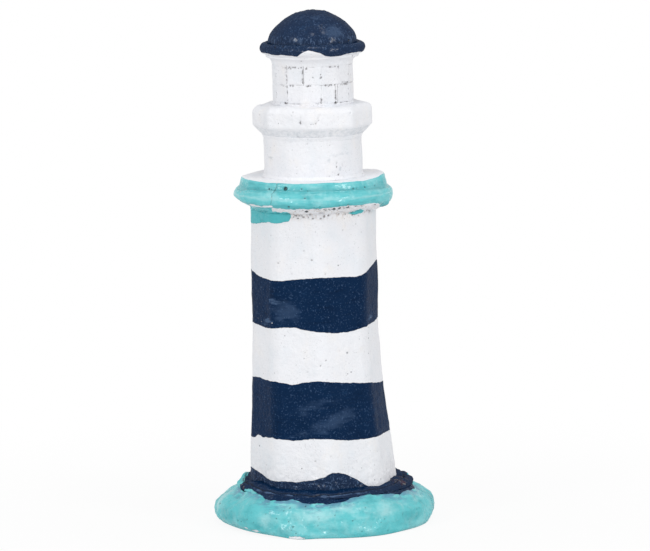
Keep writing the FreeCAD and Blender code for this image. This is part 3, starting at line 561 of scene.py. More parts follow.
def make_parapet():
    """A block with a coned foot, eight sides and a rounded top edge."""
    cone_top = PARAPET_FOOT + PARAPET_CONE_H
    rows = [(0.7, 0, PARAPET_FOOT), (1, 0, PARAPET_FOOT), (1, 0.25, cone_top - 0.6),
            (1, 0.12, cone_top + 0.3), (1, 0, cone_top + 1.2)]
    rows += arc(PARAPET_EDGE_R, PARAPET_TOP - PARAPET_EDGE_R, PARAPET_EDGE_R, 0, 90, 9)
    rows += [(0.55, 0, PARAPET_TOP)]
    skin = Skin(rows, parapet_outline, columns=460, grain=0.46, lean=lambda z: PARAPET_SHIFT)
    skin.push(skin.relief((22, 0.4, 18), (7, 0.2, 19), (2.4, 0.1, 20)))
    worn_side = 1 - ease(np.abs(skin.turn + 88), 12, 45)
    skin.push(-1.3 * worn_side * ease(skin.z, PARAPET_TOP - 5.5, PARAPET_TOP - 1) * ease(skin.reach, 24, 30))
    skin.pits([
        (-20.1, 243.3, 1.6, 0.35), (-12.3, 237.6, 1.4, 0.7), (-12, 236.9, 1.0, 0.6), (-1.6, 236.7, 1.2, 0.5),
        (1, 236.6, 0.9, 0.4), (3.3, 237.0, 1.3, 0.5), (6.2, 238.8, 1.1, 0.5), (-61.3, 235.1, 1.3, 0.5),
        (-55.5, 237.1, 1.2, 0.4), (-44.7, 238.1, 1.0, 0.3), (62.5, 232.3, 1.2, 0.5), (56.5, 230.4, 1.0, 0.4),
        (8, 242.5, 1.0, 0.3), (150, 238, 1.6, 0.6), (-11.5, 238.6, 0.9, 0.6), (5.5, 240.2, 0.9, 0.5)])
    skin.scratch([(-12.6, 238.8), (-12.9, 237.4), (-12.0, 236.4)], 0.7, 0.4)
    skin.scratch([(-0.8, 236.7), (3.0, 236.8), (5.2, 238.2), (6.6, 240.4)], 0.6, 0.25)
    skin.air_holes(90, 0.5, 1.2, seed=21)
    # painted shade: the parapet's underside cone is greyed
    skin.mark("grey_patch_and_shade", 0.42 - 1.9 * ease(skin.z, cone_top - 1.2, cone_top + 0.6))
    return skin.make("parapet_casting", "parapet")


def score_panes(skin):
    """Panes scored into the wall: a line at each corner and three lines round, half filled with paint."""
    lower, middle, upper = (LANTERN_FOOT + PANE_SILL_H + PANE_H * row for row in range(3))
    fill = 0.5 + 0.5 * skin.wander(1.9, 25)
    patchy = ease(skin.wander(8, 26), -0.5, 0.7)
    walls = (skin.z > lower - 0.5) & (skin.z < upper + 0.6)
    sunk = np.zeros_like(skin.z)
    # how deep each corner's line still is, in the lower and the upper row of panes
    uprights = {-2: (0.7, 0.55), -1: (0.2, 1.0), 0: (0.5, 0.45), 1: (1.0, 0.2), 2: (0.4, 0.7), -3: (0.5, 0.4),
                3: (0.6, 0.4), -4: (0.4, 0.6), 4: (0.6, 0.7), 5: (0.4, 0.4), 6: (0.7, 0.5), 7: (0.5, 0.7),
                -5: (0.6, 0.5), -6: (0.5, 0.5)}
    for corner, (low_depth, high_depth) in uprights.items():
        turn = LANTERN_TWIST + corner * 360 / LANTERN_SIDES
        away = np.abs((skin.turn - turn + 180) % 360 - 180) * math.pi / 180 * LANTERN_W / 2
        depth = np.where(skin.z < middle, low_depth, high_depth) * walls
        sunk = np.maximum(sunk, (1 - ease(away + 0.12 * skin.wander(3, 27), 0.08, 0.5)) * depth)
    for level, depth in ((lower, 0.6), (middle, 0.7), (upper, 0.65)):
        away = np.abs(skin.z - level + 0.25 * skin.wander(9, 28))
        sunk = np.maximum(sunk, (1 - ease(away, 0.12, 0.65)) * depth * (0.45 + 0.55 * patchy))
    sunk = sunk * (0.45 + 0.55 * fill)
    # the scored lines are darkened: dirt, and painted shade in them
    skin.darken(ease(sunk, 0.15, 0.6) * 0.5 * (skin.share > 0.9))
    skin.push(-sunk * 0.8)


def make_lantern_room():
    """A prism of panes whose top spreads in a cove."""
    panes_top = LANTERN_FOOT + PANE_SILL_H + 2 * PANE_H
    cove = panes_top + 0.45
    height = LANTERN_TOP - cove
    rows = [(1, 9, LANTERN_FOOT - 0.3), (1, 0, LANTERN_FOOT - 0.3), (1, 0, cove)]
    rows += [(1, -COVE_REACH * t ** 1.9, cove + height * t) for t in (0.15, 0.3, 0.45, 0.6, 0.75, 0.9, 1.0)]
    rows += [(1, 9, LANTERN_TOP)]

    def outline(turn, z):
        sharp = soft_polygon(turn, LANTERN_W, 1.2, LANTERN_SIDES, LANTERN_TWIST)
        return sharp + (LANTERN_W / 2 - 0.2 - sharp) * ease(z, panes_top - 1, cove + 2)

    skin = Skin(rows, outline, columns=500, grain=0.34, lean=lambda z: LANTERN_SHIFT)
    skin.push(skin.relief((14, 0.25, 22), (5, 0.14, 23), (1.8, 0.07, 24)))
    score_panes(skin)
    skin.pits([(-44.7, 247.2, 2.2, 1.0), (34.3, 247.2, 1.9, 1.0), (-14.8, 272.0, 1.2, 0.6),
               (64.8, 267.5, 1.4, 0.6), (72, 262.2, 1.5, 0.6), (70, 264.5, 1.0, 0.5), (49, 258.7, 1.2, 0.5)])
    draw = random.Random(3)
    skin.pits([pit for turn, low, high, count in PANE_DOTS_UP
               for pit in strewn(draw, count, (turn - 0.8, turn + 0.8), (low, high), (0.7, 1.2), 0.6)])
    skin.pits([pit for z, left, right, count in PANE_DOTS_ROUND
               for pit in strewn(draw, count, (left, right), (z - 0.35, z + 0.35), (0.8, 1.3), 0.6)])
    scored = [[(-5, 257.8), (-10, 257.6)], [(48, 258.9), (62, 258.7)], [(17, 248), (8, 248.1)],
              [(24, 268.2), (32, 268)], [(34.6, 257), (34.9, 251), (34.4, 247)], [(11.9, 251), (11.4, 247.4)],
              [(-15.2, 265.8), (-15.4, 259.6)]]
    for path in scored:
        skin.scratch(path, 0.7, 0.42)
    skin.air_holes(110, 0.45, 0.95, seed=29)
    return skin.make("lantern_room_casting", "lantern_room")


def make_roof():
    """A dome, steeper at its haunch than at its crown, on a rolled brim."""
    roll_z = ROOF_FOOT + BRIM_LIFT + BRIM_R
    spring = roll_z + DOME_SPRING
    rise = ROOF_TOP - 0.3 - spring
    haunch_r = rise * DOME_HAUNCH
    dome_r = BRIM_W / 2 - DOME_SETBACK
    crown_r = ((dome_r - haunch_r) ** 2 + rise ** 2 - haunch_r ** 2) / (2 * (rise - haunch_r))
    touch = math.degrees(math.atan2(crown_r - rise, dome_r - haunch_r))
    rows = [(1, 10, ROOF_FOOT), (1, BRIM_R + 0.5, ROOF_FOOT)]
    rows += arc(BRIM_R, roll_z, BRIM_R, -86, 78, 15)
    rows += [(1, DOME_SETBACK - 0.6, roll_z + BRIM_R * 0.8), (1, DOME_SETBACK - 0.1, roll_z + BRIM_R * 0.72)]
    rows += arc(DOME_SETBACK + haunch_r, spring, haunch_r, 0, touch, 12)
    rows += arc(BRIM_W / 2, spring + rise - crown_r, crown_r, touch, 89.6, 18)[1:]
    skin = Skin(rows, round_outline(BRIM_W / 2), columns=440, grain=0.42, lean=lambda z: ROOF_SHIFT)
    skin.push(skin.relief((13, 0.34, 30), (5, 0.15, 31), (1.8, 0.04, 32)) * ease(skin.reach, 0.3, 6))
    knobs = ease(skin.wander(2.8, 33), 0.2, 0.9) * ease(skin.z, 291, 297) * ease(skin.reach, 0.6, 3)
    skin.push(0.32 * knobs)
    skin.pits([(-47, 280.5, 1.8, 0.7), (-35, 281, 1.4, 0.6), (55, 283, 1.8, 0.8), (68, 286, 1.6, 0.6)])
    skin.air_holes(60, 0.7, 1.3, seed=34)
    skin.mark("navy", skin.z - skin.line(ROOF_PAINT_EDGE, 1.6))
    # paler patches on the dome's upper right and crown: painted sheen
    skin.mark("wear_and_sheen", skin.patches((34, 288, 8, 5), (-22, 284, 4, 2), (5, 296, 16, 1.5), (160, 287, 12, 5)))
    groove_z = roll_z + BRIM_R + 1.6
    skin.mark("groove", (1 - ease(np.abs(skin.z - groove_z), 1.0, 5.5)) * (skin.z > roll_z + 1.5))
    return skin.make("roof_casting", "roof_dome")


def make_bed(joint, outline, foot, top, lean, seed, rough=0.35):
    """The struck edge of a mortar bed: a thin ragged disc between two castings."""
    rows = [(0.8, 0, foot), (1, 0.15, foot), (1, 0, foot + 0.3),
            (1, 0, top - 0.3), (1, 0.15, top), (0.8, 0, top)]
    skin = Skin(rows, outline, columns=420, grain=0.3, lean=lean)
    skin.push((skin.share > 0.97) * (skin.wander(4, seed) * rough + skin.wander(1.4, seed + 1) * rough * 0.7))
    skin.mark("navy", skin.line(FOOT_PAINT_TOP) - skin.z)
    skin.mark("turquoise", turquoise_on_tower(skin) - 50 * (skin.z > GALLERY_TOP - 5))
    return skin.make(f"{joint}_bed", f"{joint}_mortar")


def make_beds():
    """A bed of mortar in each joint between two castings."""
    def at(shift):
        return lambda z: shift + 0 * z

    def under_drum(turn, z):
        return WATCH_R + 1.1 - 1.0 * ease(z, GALLERY_TOP, WATCH_FOOT + 0.8) + 0 * turn

    def over_drum(turn, z):
        return WATCH_R + 0.1 + 0.8 * ease(z, WATCH_TOP - 1.2, PARAPET_FOOT) + 0 * turn

    def under_tower(turn, z):
        return tower_outline(turn, TOWER_FOOT + 0 * z)

    def over_tower(turn, z):
        return tower_outline(turn, TOWER_TOP + 0 * z) + 0.3

    under_lantern = round_outline(LANTERN_W / 2 - 0.1)
    under_roof = round_outline(LANTERN_W / 2 + COVE_REACH + 0.3)
    watch, lantern = at(WATCH_SHIFT), at(LANTERN_SHIFT)
    return [
        make_bed("tower", under_tower, PLINTH_TOP, TOWER_FOOT, at(TOWER_FOOT_SHIFT), 40),
        make_bed("gallery", over_tower, TOWER_TOP - 0.3, GALLERY_FOOT + 0.4, at(0), 42, rough=0.7),
        make_bed("watch_room", under_drum, GALLERY_TOP - 0.4, WATCH_FOOT + 0.9, watch, 44, rough=0.12),
        make_bed("parapet", over_drum, WATCH_TOP - 1.4, PARAPET_FOOT + 0.3, watch, 46, rough=0.1),
        make_bed("lantern_room", under_lantern, PARAPET_TOP - 0.4, LANTERN_FOOT + 0.2, lantern, 48),
        make_bed("roof", under_roof, LANTERN_TOP - 0.5, ROOF_FOOT + 0.5, lantern, 50, rough=0.1),
    ]


# ---- shader values that can be written as sums ------------------------------------------------

def paint(red, green, blue):
    """A paint's colour, on a 0 to 255 scale."""
    def linear(part):
        part /= 255
        return part / 12.92 if part <= 0.04045 else ((part + 0.055) / 1.055) ** 2.4
    return linear(red), linear(green), linear(blue), 1.0


class Value:
    """One socket in a tree of nodes. Sums of them add Math nodes."""

    def __init__(self, nodes, socket):
        self.nodes, self.socket = nodes, socket

    def math(self, operation, *values):
        return self.nodes.node("Math", {"operation": operation}, dict(enumerate(values)))

    def __add__(self, other):
        return self.math("ADD", self, other)

    def __radd__(self, other):
        return self.math("ADD", other, self)

    def __sub__(self, other):
        return self.math("SUBTRACT", self, other)

    def __rsub__(self, other):
        return self.math("SUBTRACT", other, self)

    def __mul__(self, other):
        return self.math("MULTIPLY", self, other)

    def __rmul__(self, other):
        return self.math("MULTIPLY", other, self)

    def __truediv__(self, other):
        return self.math("DIVIDE", self, other)

    def most(self, other):
        return self.math("MAXIMUM", self, other)

    def ease(self, low, high):
        """0 below low, 1 above high, and smooth between."""
        return self.nodes.node("MapRange", {"interpolation_type": "SMOOTHSTEP"},
                               {"Value": self, "From Min": low, "From Max": high})


class Nodes:
    """The node tree of a material or of the surroundings."""

    def __init__(self, tree):
        self.tree = tree

    def node(self, kind, settings, inputs, output=0):
        made = self.tree.nodes.new("ShaderNode" + kind)
        for name, setting in settings.items():
            setattr(made, name, setting)
        for name, value in inputs.items():
            if isinstance(value, Value):
                self.tree.links.new(value.socket, made.inputs[name])
            else:
                made.inputs[name].default_value = value
        return Value(self, made.outputs[output])

    def seen_directly(self):
        """1 for rays from the camera, from a mirror or through glass."""
        camera, glossy, through = (self.node("LightPath", {}, {}, f"Is {kind} Ray")
                                   for kind in ("Camera", "Glossy", "Transmission"))
        return camera.most(glossy).most(through)


GLOSS_ROUGHNESS, GLOSS_IOR = 0.16, 2.4


class Finish(Nodes):
    """One material, and the ways to add to it."""

    def __init__(self, name):
        self.material = bpy.data.materials.new(name)
        self.material.use_nodes = True
        super().__init__(self.material.node_tree)
        self.shader = self.tree.nodes["Principled BSDF"]
        self.place = self.node("TexCoord", {}, {}, "Object")

    def mark(self, name):
        return self.node("Attribute", {"attribute_name": name}, {}, "Fac")

    def spaced(self, sizes):
        """Object coordinates, counted in lengths of so many millimetres: one, or one each for X, Y and Z."""
        sizes = sizes if isinstance(sizes, tuple) else (sizes, sizes, sizes)
        return self.node("VectorMath", {"operation": "MULTIPLY"},
                         {0: self.place, 1: [1 / (size * MM) for size in sizes]})

    def mottle(self, sizes, detail=2.0, shift=0.0):
        """Noise from 0 to 1 with patches of this size or these sizes, in millimetres."""
        where = self.node("VectorMath", {"operation": "ADD"}, {0: self.spaced(sizes), 1: (shift,) * 3})
        return self.node("TexNoise", {}, {"Vector": where, "Scale": 1.0, "Detail": detail, "Roughness": 0.55})

    def ragged(self, name, sizes, detail, shift, swing):
        """A mark whose values swing up and down, so that its edge wanders."""
        return self.mark(name) + (self.mottle(sizes, detail, shift) - 0.5) * swing

    def dots(self, apart, share, width):
        """Round dots, one in this share of the cells, up to this share of a cell across."""
        cells = {"Vector": self.spaced(apart), "Scale": 1.0}
        away = self.node("TexVoronoi", {}, cells, "Distance")
        pick = self.node("SeparateColor", {}, {0: self.node("TexVoronoi", {}, cells, "Color")}, 0)
        size = (pick - (1 - share)) * (width / share)
        return (size - away).ease(0.0, 0.08)

    def mix(self, factor, first, second):
        return self.node("Mix", {"data_type": "RGBA"}, {0: factor, 6: first, 7: second}, 2)

    def shades(self, dark, middle, light, value):
        """A paint's colour where it is thick, where it is plain and where it is thin."""
        lower = self.mix(value.ease(0.28, 0.5), dark, middle)
        return self.mix(value.ease(0.52, 0.78), lower, light)

    def done(self, colour, roughness, height, specular=0.5, gloss=None):
        """Links what changes over the surface. The height is in millimetres."""
        if gloss:
            self.tree.links.new(gloss.socket, self.shader.inputs["Coat Weight"])
            self.shader.inputs["Coat Roughness"].default_value = GLOSS_ROUGHNESS
            self.shader.inputs["Coat IOR"].default_value = GLOSS_IOR
        bump = self.node("Bump", {}, {"Strength": 1.0, "Distance": MM, "Height": height}, "Normal")
        for name, value in (("Base Color", colour), ("Roughness", roughness), ("Normal", bump)):
            self.tree.links.new(value.socket, self.shader.inputs[name])
        self.shader.inputs["Specular IOR Level"].default_value = specular
        return self.material


# ---- the paints -------------------------------------------------------------------------------

WHITE_COOL, WHITE, WHITE_WARM = paint(232, 235, 240), paint(236, 237, 241), paint(240, 238, 238)
NAVY_DEEP, NAVY, NAVY_THIN = paint(4, 26, 52), paint(7, 36, 68), paint(30, 62, 98)
# pale blue for scuffs, and for painted glints and painted sheen on the navy
PALE_BLUE_SCUFF_AND_GLINT = paint(96, 122, 158)
TURQUOISE_DEEP, TURQUOISE = paint(64, 162, 170), paint(98, 196, 202)
# the palest turquoise is dry-brushed paint, and also the gallery's painted highlight
TURQUOISE_THIN, TURQUOISE_PALE_AND_HIGHLIGHT = paint(146, 220, 224), paint(196, 236, 238)
SMEARED_BLUE = paint(90, 132, 164)
# pits, cracks and creases are darkened towards PIT_DARK, NAVY_PIT and WHITE_PIT: dirt, and painted shade
PIT_DARK, PIT_GREY = paint(52, 58, 62), paint(120, 124, 128)
NAVY_PIT, WHITE_PIT = paint(3, 12, 26), paint(112, 108, 108)
CONCRETE, MORTAR_TAN = paint(168, 164, 156), paint(206, 190, 176)
# the grey is real smudges on the watch room, and painted shade on the parapet's cone
RUBBED_BROWN, GREY_PATCH_AND_SHADE = paint(96, 70, 70), paint(176, 186, 194)
GROUT_DARK, GROUT_PALE = paint(120, 118, 112), paint(176, 172, 164)
STEEL_DARK, STEEL_PALE, RUST = paint(150, 150, 152), paint(196, 196, 198), paint(120, 72, 44)


def white_coat(finish):
    """White emulsion over concrete: cool and warm patches, and pinholes that the brush bridged."""
    colour = finish.shades(WHITE_COOL, WHITE, WHITE_WARM, finish.mottle((12, 12, 16), 4))
    cloud = finish.mottle(13, 2, shift=5).ease(0.44, 0.64)
    pinholes = finish.dots(2.1, 0.10, 0.26).most(finish.dots(3.7, 0.12, 0.2)) * (0.2 + cloud * 0.8)
    sandy = finish.mottle(0.9, 2, shift=21).ease(0.6, 0.78) * (0.12 + cloud * 0.3)
    colour = finish.mix((pinholes * 0.75).most(sandy), colour, PIT_GREY)
    brushed = finish.mottle((2.6, 2.6, 9), 3, shift=22)
    return colour, 0.5 + brushed * 0.14, pinholes * -0.22 + brushed * 0.14


def navy_coat(finish, strokes):
    """Dark blue enamel, thin in streaks along the brush's path, with pale specks painted as glints."""
    streak = finish.mottle(strokes, 5, shift=2)
    cloud = finish.mottle((15, 15, 13), 3, shift=8)
    fine = finish.mottle(1.0, 3, shift=23)
    colour = finish.shades(NAVY_DEEP, NAVY, NAVY_THIN, streak * 0.36 + cloud * 0.36 + fine * 0.28)
    painted_glints = finish.dots(1.2, 0.2, 0.3).most(finish.dots(2.3, 0.1, 0.16))
    painted_glints = painted_glints * (0.15 + cloud.ease(0.42, 0.62) * 0.85)
    # pale specks: painted glints on the enamel
    colour = finish.mix((painted_glints * 0.4).most(fine.ease(0.56, 0.74) * 0.38), colour, PALE_BLUE_SCUFF_AND_GLINT)
    return colour, 0.34 + streak * 0.2, streak * 0.14 + fine * 0.14


def turquoise_coat(finish, strokes, dry=0.35):
    """Turquoise laid on thickly: pale ridges and deeper pools along the strokes, and a dry-brushed haze."""
    streak = finish.mottle(strokes, 4, shift=3)
    cloud = finish.mottle((12, 12, 9), 3, shift=6)
    colour = finish.shades(TURQUOISE_DEEP, TURQUOISE, TURQUOISE_THIN, streak * 0.45 + cloud * 0.55)
    broad, small = finish.mottle((19, 19, 13), 2, shift=25), finish.mottle((3.4, 3.4, 4.2), 5, shift=24)
    haze = (broad * 0.62 + small * 0.38).ease(0.47, 0.66)
    colour = finish.mix(haze * dry, colour, TURQUOISE_PALE_AND_HIGHLIGHT)
    deep = finish.mottle((1.6, 1.6, 1.2), 3, shift=30).ease(0.6, 0.74)
    colour = finish.mix(deep * 0.25, colour, TURQUOISE_DEEP)
    return colour, 0.2 + streak * 0.16 + haze * 0.12, streak * 0.3 + haze * 0.06 - deep * 0.06


def painted(finish, name, raggedness=0.5, blur=0.12):
    """1 where a paint was brushed, with an edge that bristles left ragged."""
    return finish.ragged(name, 3.2, 3, shift=4, swing=2.4 * raggedness).ease(-blur, blur)


def over(finish, mask, below, above, thickness=0.1):
    """One coat laid over another, with the step that its thickness makes."""
    colour = finish.mix(mask, below[0], above[0])
    roughness = below[1] + (above[1] - below[1]) * mask
    return colour, roughness, below[2] + (above[2] - below[2]) * mask + mask * thickness


def grain(finish):
    """The fine stucco of cast concrete under paint, in millimetres."""
    return (finish.mottle(0.85, 2, shift=1) * 0.2 + finish.mottle(1.8, 2, shift=26) * 0.3
            + finish.mottle(4.5, 2, shift=9) * 0.35)


def with_shade_and_grime(finish, coat, specular=0.4, depth=0.85, stucco=1.0, gloss=None, shade_and_grime_colour=PIT_DARK):
    """Darkens pits, cracks and creases with dirt and painted shade, adds the grain and closes the finish."""
    colour, roughness, height = coat
    shade_and_grime = finish.mark("shade_and_grime").ease(0.08, 0.75)
    # painted shade and dirt in pits, cracks and creases
    colour = finish.mix(shade_and_grime * depth, colour, shade_and_grime_colour)
    return finish.done(colour, roughness + shade_and_grime * 0.3, height + grain(finish) * stucco, specular, gloss)


def tower_paint():
    finish = Finish("tower_white_with_navy_bands")
    navy_colour, navy_rough, navy_height = navy_coat(finish, (15, 15, 1.6))
    scuff = finish.ragged("scuff", (5, 5, 1), 4, shift=0, swing=7)
    haze = finish.ragged("haze", (8, 8, 3), 3, shift=27, swing=12).ease(-1, 4)
    navy_colour = finish.mix((scuff.ease(0.2, 2.4) * 0.4).most(haze * 0.19), navy_colour, PALE_BLUE_SCUFF_AND_GLINT)
    bare = finish.ragged("bare", 3.2, 3, shift=4, swing=0.84).ease(-0.1, 0.25)
    navy = finish.mix(bare * 0.8, navy_colour, WHITE_COOL)
    # pale specks on the stucco at the tower's foot: painted glints
    stucco = finish.mark("stucco") * finish.mottle(1.0, 2, shift=31)
    navy = finish.mix(stucco.ease(0.54, 0.66) * 0.5, navy, PALE_BLUE_SCUFF_AND_GLINT)
    banded = painted(finish, "navy")
    bands = (navy, navy_rough + 0.08, navy_height + stucco * 0.5)
    colour, rough, height = over(finish, banded, white_coat(finish), bands, 0.14)
    turquoise = painted(finish, "turquoise")
    crumbs = finish.mark("crumbs") * finish.mottle(1.6, 2, shift=7).ease(0.5, 0.62)
    coat = (finish.mix(crumbs * 0.4, colour, MORTAR_TAN), rough, height + crumbs * 0.3)
    colour, rough, height = over(finish, turquoise, coat, turquoise_coat(finish, (7, 7, 3), 0.1), 0.2)
    colour = finish.mix(turquoise * 0.35, colour, TURQUOISE_DEEP)
    return with_shade_and_grime(finish, (colour, rough, height), specular=0.05,
                  gloss=finish.mark("stucco") * 0.05, shade_and_grime_colour=finish.mix(banded, WHITE_PIT, PALE_BLUE_SCUFF_AND_GLINT))


def gallery_paint():
    finish = Finish("gallery_turquoise_and_white")
    white = white_coat(finish)
    crumb = finish.mottle(1.5, 2, shift=28)
    crumbly = finish.mix(crumb.ease(0.56, 0.66) * 0.55, white[0], MORTAR_TAN)
    colour, rough, height = turquoise_coat(finish, (13, 13, 2.2))
    streaks = (finish.mottle((9, 9, 1.6), 3, shift=34) - 0.5) * 3
    # deeper turquoise: painted shade over the crease and under the rim
    colour = finish.mix((finish.mark("deep_paint_and_shade") + streaks).ease(-0.2, 1.2) * 0.6, colour, TURQUOISE_DEEP)
    # paler turquoise: painted highlight along the flange's bulge
    colour = finish.mix((finish.mark("pale_wear_and_highlight") + streaks).ease(0.0, 1.4) * 0.36, colour, TURQUOISE_PALE_AND_HIGHLIGHT)
    under = painted(finish, "underside", 0.45)
    ledge = painted(finish, "white", 0.25)
    coat = over(finish, under, (colour, rough, height), (crumbly, white[1], white[2] + crumb * 0.5), -0.1)
    coat = over(finish, ledge, coat, white, 0.1)
    coat = over(finish, painted(finish, "chip", 0.4, 0.1), coat, white, -0.15)
    return with_shade_and_grime(finish, coat, specular=0.1, stucco=0.6, gloss=(1 - under.most(ledge)) * 0.16)


def plinth_paint():
    finish = Finish("plinth_turquoise")
    colour, rough, height = turquoise_coat(finish, (17, 17, 4), 0.27)
    pale_wear_and_highlight = finish.ragged("pale_wear_and_highlight", (5, 5, 3), 4, shift=29, swing=9)
    colour = finish.mix(pale_wear_and_highlight.ease(-1.5, 5) * 0.5, colour, TURQUOISE_PALE_AND_HIGHLIGHT)
    # deeper turquoise in patches, and painted shade along the bottom edge
    deep_paint_and_shade = finish.ragged("deep_paint_and_shade", (6, 6, 4), 4, shift=35, swing=9)
    colour = finish.mix(deep_paint_and_shade.ease(-1, 4) * 0.42, colour, TURQUOISE_DEEP)
    smear = finish.mark("navy").ease(-7, 0.5) * finish.mottle((8, 8, 1.8), 4, shift=12).ease(0.42, 0.54)
    colour = finish.mix(smear * 0.85, colour, SMEARED_BLUE)
    navy = painted(finish, "navy", 0.4, 0.15)
    coat = over(finish, navy, (colour, rough, height), navy_coat(finish, (9, 9, 2)), 0.2)
    coat = over(finish, painted(finish, "chip", 0.8, 0.1), coat, white_coat(finish), -0.2)
    sand = finish.mottle(1.2, 3, shift=37)
    unpainted = painted(finish, "unpainted", 1.5, 0.3)
    concrete = (finish.mix(sand.ease(0.4, 0.65), PIT_GREY, CONCRETE), sand * 0.2 + 0.75, sand * 0.5)
    coat = over(finish, unpainted, coat, concrete, -0.1)
    gloss = (1.1 - navy.most(unpainted)) * finish.mottle((7, 7, 5), 2, shift=32) * 0.22
    return with_shade_and_grime(finish, coat, specular=0.05, gloss=gloss)


def fillet_paint():
    finish = Finish("fillet_navy")
    colour, rough, height = navy_coat(finish, (8, 8, 2))
    # the pale line along the crease's ridge is a painted highlight
    crease_highlight = finish.ragged("crease_highlight", (4, 4, 1.4), 4, shift=36, swing=5)
    colour = finish.mix(crease_highlight.ease(0.1, 1.4) * 0.55, colour, PALE_BLUE_SCUFF_AND_GLINT)
    navy = (colour, rough, height)
    coat = over(finish, painted(finish, "navy", 0.4, 0.15), turquoise_coat(finish, (9, 9, 4)), navy, 0.2)
    wear_and_sheen = finish.ragged("wear_and_sheen", 2.4, 3, shift=0, swing=5).ease(0.2, 1.4)
    bare = finish.mix(finish.mottle(1.8).ease(0.5, 0.6), RUBBED_BROWN, CONCRETE)
    mortar = (bare, finish.mottle(3) * 0.3 + 0.6, finish.mottle(2) * 0.4)
    coat = over(finish, wear_and_sheen * 0.5, coat, mortar, -0.2)
    return with_shade_and_grime(finish, coat, specular=0.0, gloss=0.09 - wear_and_sheen * 0.09, shade_and_grime_colour=NAVY_PIT)


def roof_paint():
    finish = Finish("roof_navy")
    colour, rough, height = navy_coat(finish, (1.5, 1.5, 9))
    # pale strokes at the groove: brush strokes, and partly a painted highlight
    brushed = finish.mark("groove") * finish.mottle((0.9, 0.9, 7), 3, shift=14).ease(0.5, 0.7)
    pale_wear_and_highlight = finish.mottle(2.6, 3, shift=15).ease(0.58, 0.76)
    # painted sheen on the dome, from the marked patches
    wear_and_sheen = finish.ragged("wear_and_sheen", (1.6, 1.6, 6), 4, shift=33, swing=9).ease(-0.5, 4)
    colour = finish.mix((brushed * 0.5).most(pale_wear_and_highlight * 0.12).most(wear_and_sheen * 0.26), colour, PALE_BLUE_SCUFF_AND_GLINT)
    navy = painted(finish, "navy", 0.35)
    coat = over(finish, navy, white_coat(finish), (colour, rough - 0.1, height * 0.6), 0.16)
    return with_shade_and_grime(finish, coat, specular=0.0, stucco=0.5, gloss=navy * 0.1, shade_and_grime_colour=NAVY_PIT)


def plain_white_paint(name, with_grey_patches_and_shade=False):
    """White all over, with grey smudges and painted shade where they are marked."""
    finish = Finish(name)
    colour, roughness, height = white_coat(finish)
    if with_grey_patches_and_shade:
        grey_patch_and_shade = finish.ragged("grey_patch_and_shade", 2.2, 3, shift=16, swing=3)
        colour = finish.mix(grey_patch_and_shade.ease(-0.2, 1.2) * 0.42, colour, GREY_PATCH_AND_SHADE)
    return with_shade_and_grime(finish, (colour, roughness, height), depth=0.8, shade_and_grime_colour=WHITE_PIT)


def bed_paint():
    """Mortar struck off between castings, bridged by whatever paint ran over it."""
    finish = Finish("mortar_bed_painted")
    crumb = finish.mottle(1.3, 3)
    white = white_coat(finish)
    coat = (finish.mix(crumb.ease(0.55, 0.66) * 0.5, white[0], MORTAR_TAN), white[1], crumb * 0.5)
    coat = over(finish, painted(finish, "navy", blur=0.1), coat, navy_coat(finish, (9, 9, 2)), 0.1)
    coat = over(finish, painted(finish, "turquoise", blur=0.1), coat, turquoise_coat(finish, (9, 9, 3)), 0.1)
    return with_shade_and_grime(finish, coat, specular=0.2)


def grout():
    """Grey cement with sand in it."""
    finish = Finish("cement_grout")
    sand = finish.mottle(0.9, 4)
    colour = finish.mix(sand.ease(0.4, 0.65), GROUT_DARK, GROUT_PALE)
    return finish.done(colour, 0.85 + sand * 0.1, sand * 0.4, 0.3)


def rod_steel():
    """Bright drawn steel with rust coming through."""
    finish = Finish("drawn_steel")
    drawn = finish.mottle((0.35, 0.35, 40), 3)
    rust = finish.mottle((5, 5, 9), 4, shift=3).ease(0.6, 0.74)
    colour = finish.mix(rust * 0.6, finish.mix(drawn, STEEL_DARK, STEEL_PALE), RUST)
    finish.tree.links.new((1 - rust * 0.8).socket, finish.shader.inputs["Metallic"])
    return finish.done(colour, 0.34 + rust * 0.4, drawn * 0.03 + rust * 0.05, 0.5)


# ---- the studio -------------------------------------------------------------------------------

def white_surroundings(strength):
    """Plain white where it is seen, and a softer light on everything else."""
    world = bpy.data.worlds.new("white_studio")
    bpy.context.scene.world = world
    world.use_nodes = True
    around = Nodes(world.node_tree)
    level = around.node("MapRange", {}, {"Value": around.seen_directly(), "To Min": strength, "To Max": 1.0})
    sky = around.tree.nodes["Background"]
    sky.inputs["Color"].default_value = (1, 1, 1, 1)
    around.tree.links.new(level.socket, sky.inputs["Strength"])


def pale_floor(size, glow_near, white_from):
    """A white floor that keeps the soft shadow near the object and is plain white further off."""
    mesh = bpy.data.meshes.new("studio_floor")
    corners = [(-size, -size, 0), (size, -size, 0), (size, size, 0), (-size, size, 0)]
    mesh.from_pydata(corners, [], [(0, 1, 2, 3)])
    floor = bpy.data.objects.new("studio_floor", mesh)
    bpy.context.scene.collection.objects.link(floor)
    finish = Finish("floor_white")
    chalky = {"Base Color": (0.86, 0.86, 0.86, 1), "Roughness": 0.9, "Specular IOR Level": 0.0}
    for name, value in chalky.items():
        finish.shader.inputs[name].default_value = value
    beside_plinth = 0.07
    away = finish.node("VectorMath", {"operation": "LENGTH"}, {0: finish.place}, "Value")
    share = finish.seen_directly() * (glow_near + away.ease(beside_plinth, white_from) * (1 - glow_near))
    glow = finish.node("Emission", {}, {"Color": (1, 1, 1, 1), "Strength": 1.0})
    both = finish.node("MixShader", {}, {0: share, 1: Value(finish, finish.shader.outputs[0]), 2: glow})
    finish.tree.links.new(both.socket, finish.tree.nodes["Material Output"].inputs["Surface"])
    mesh.materials.append(finish.material)


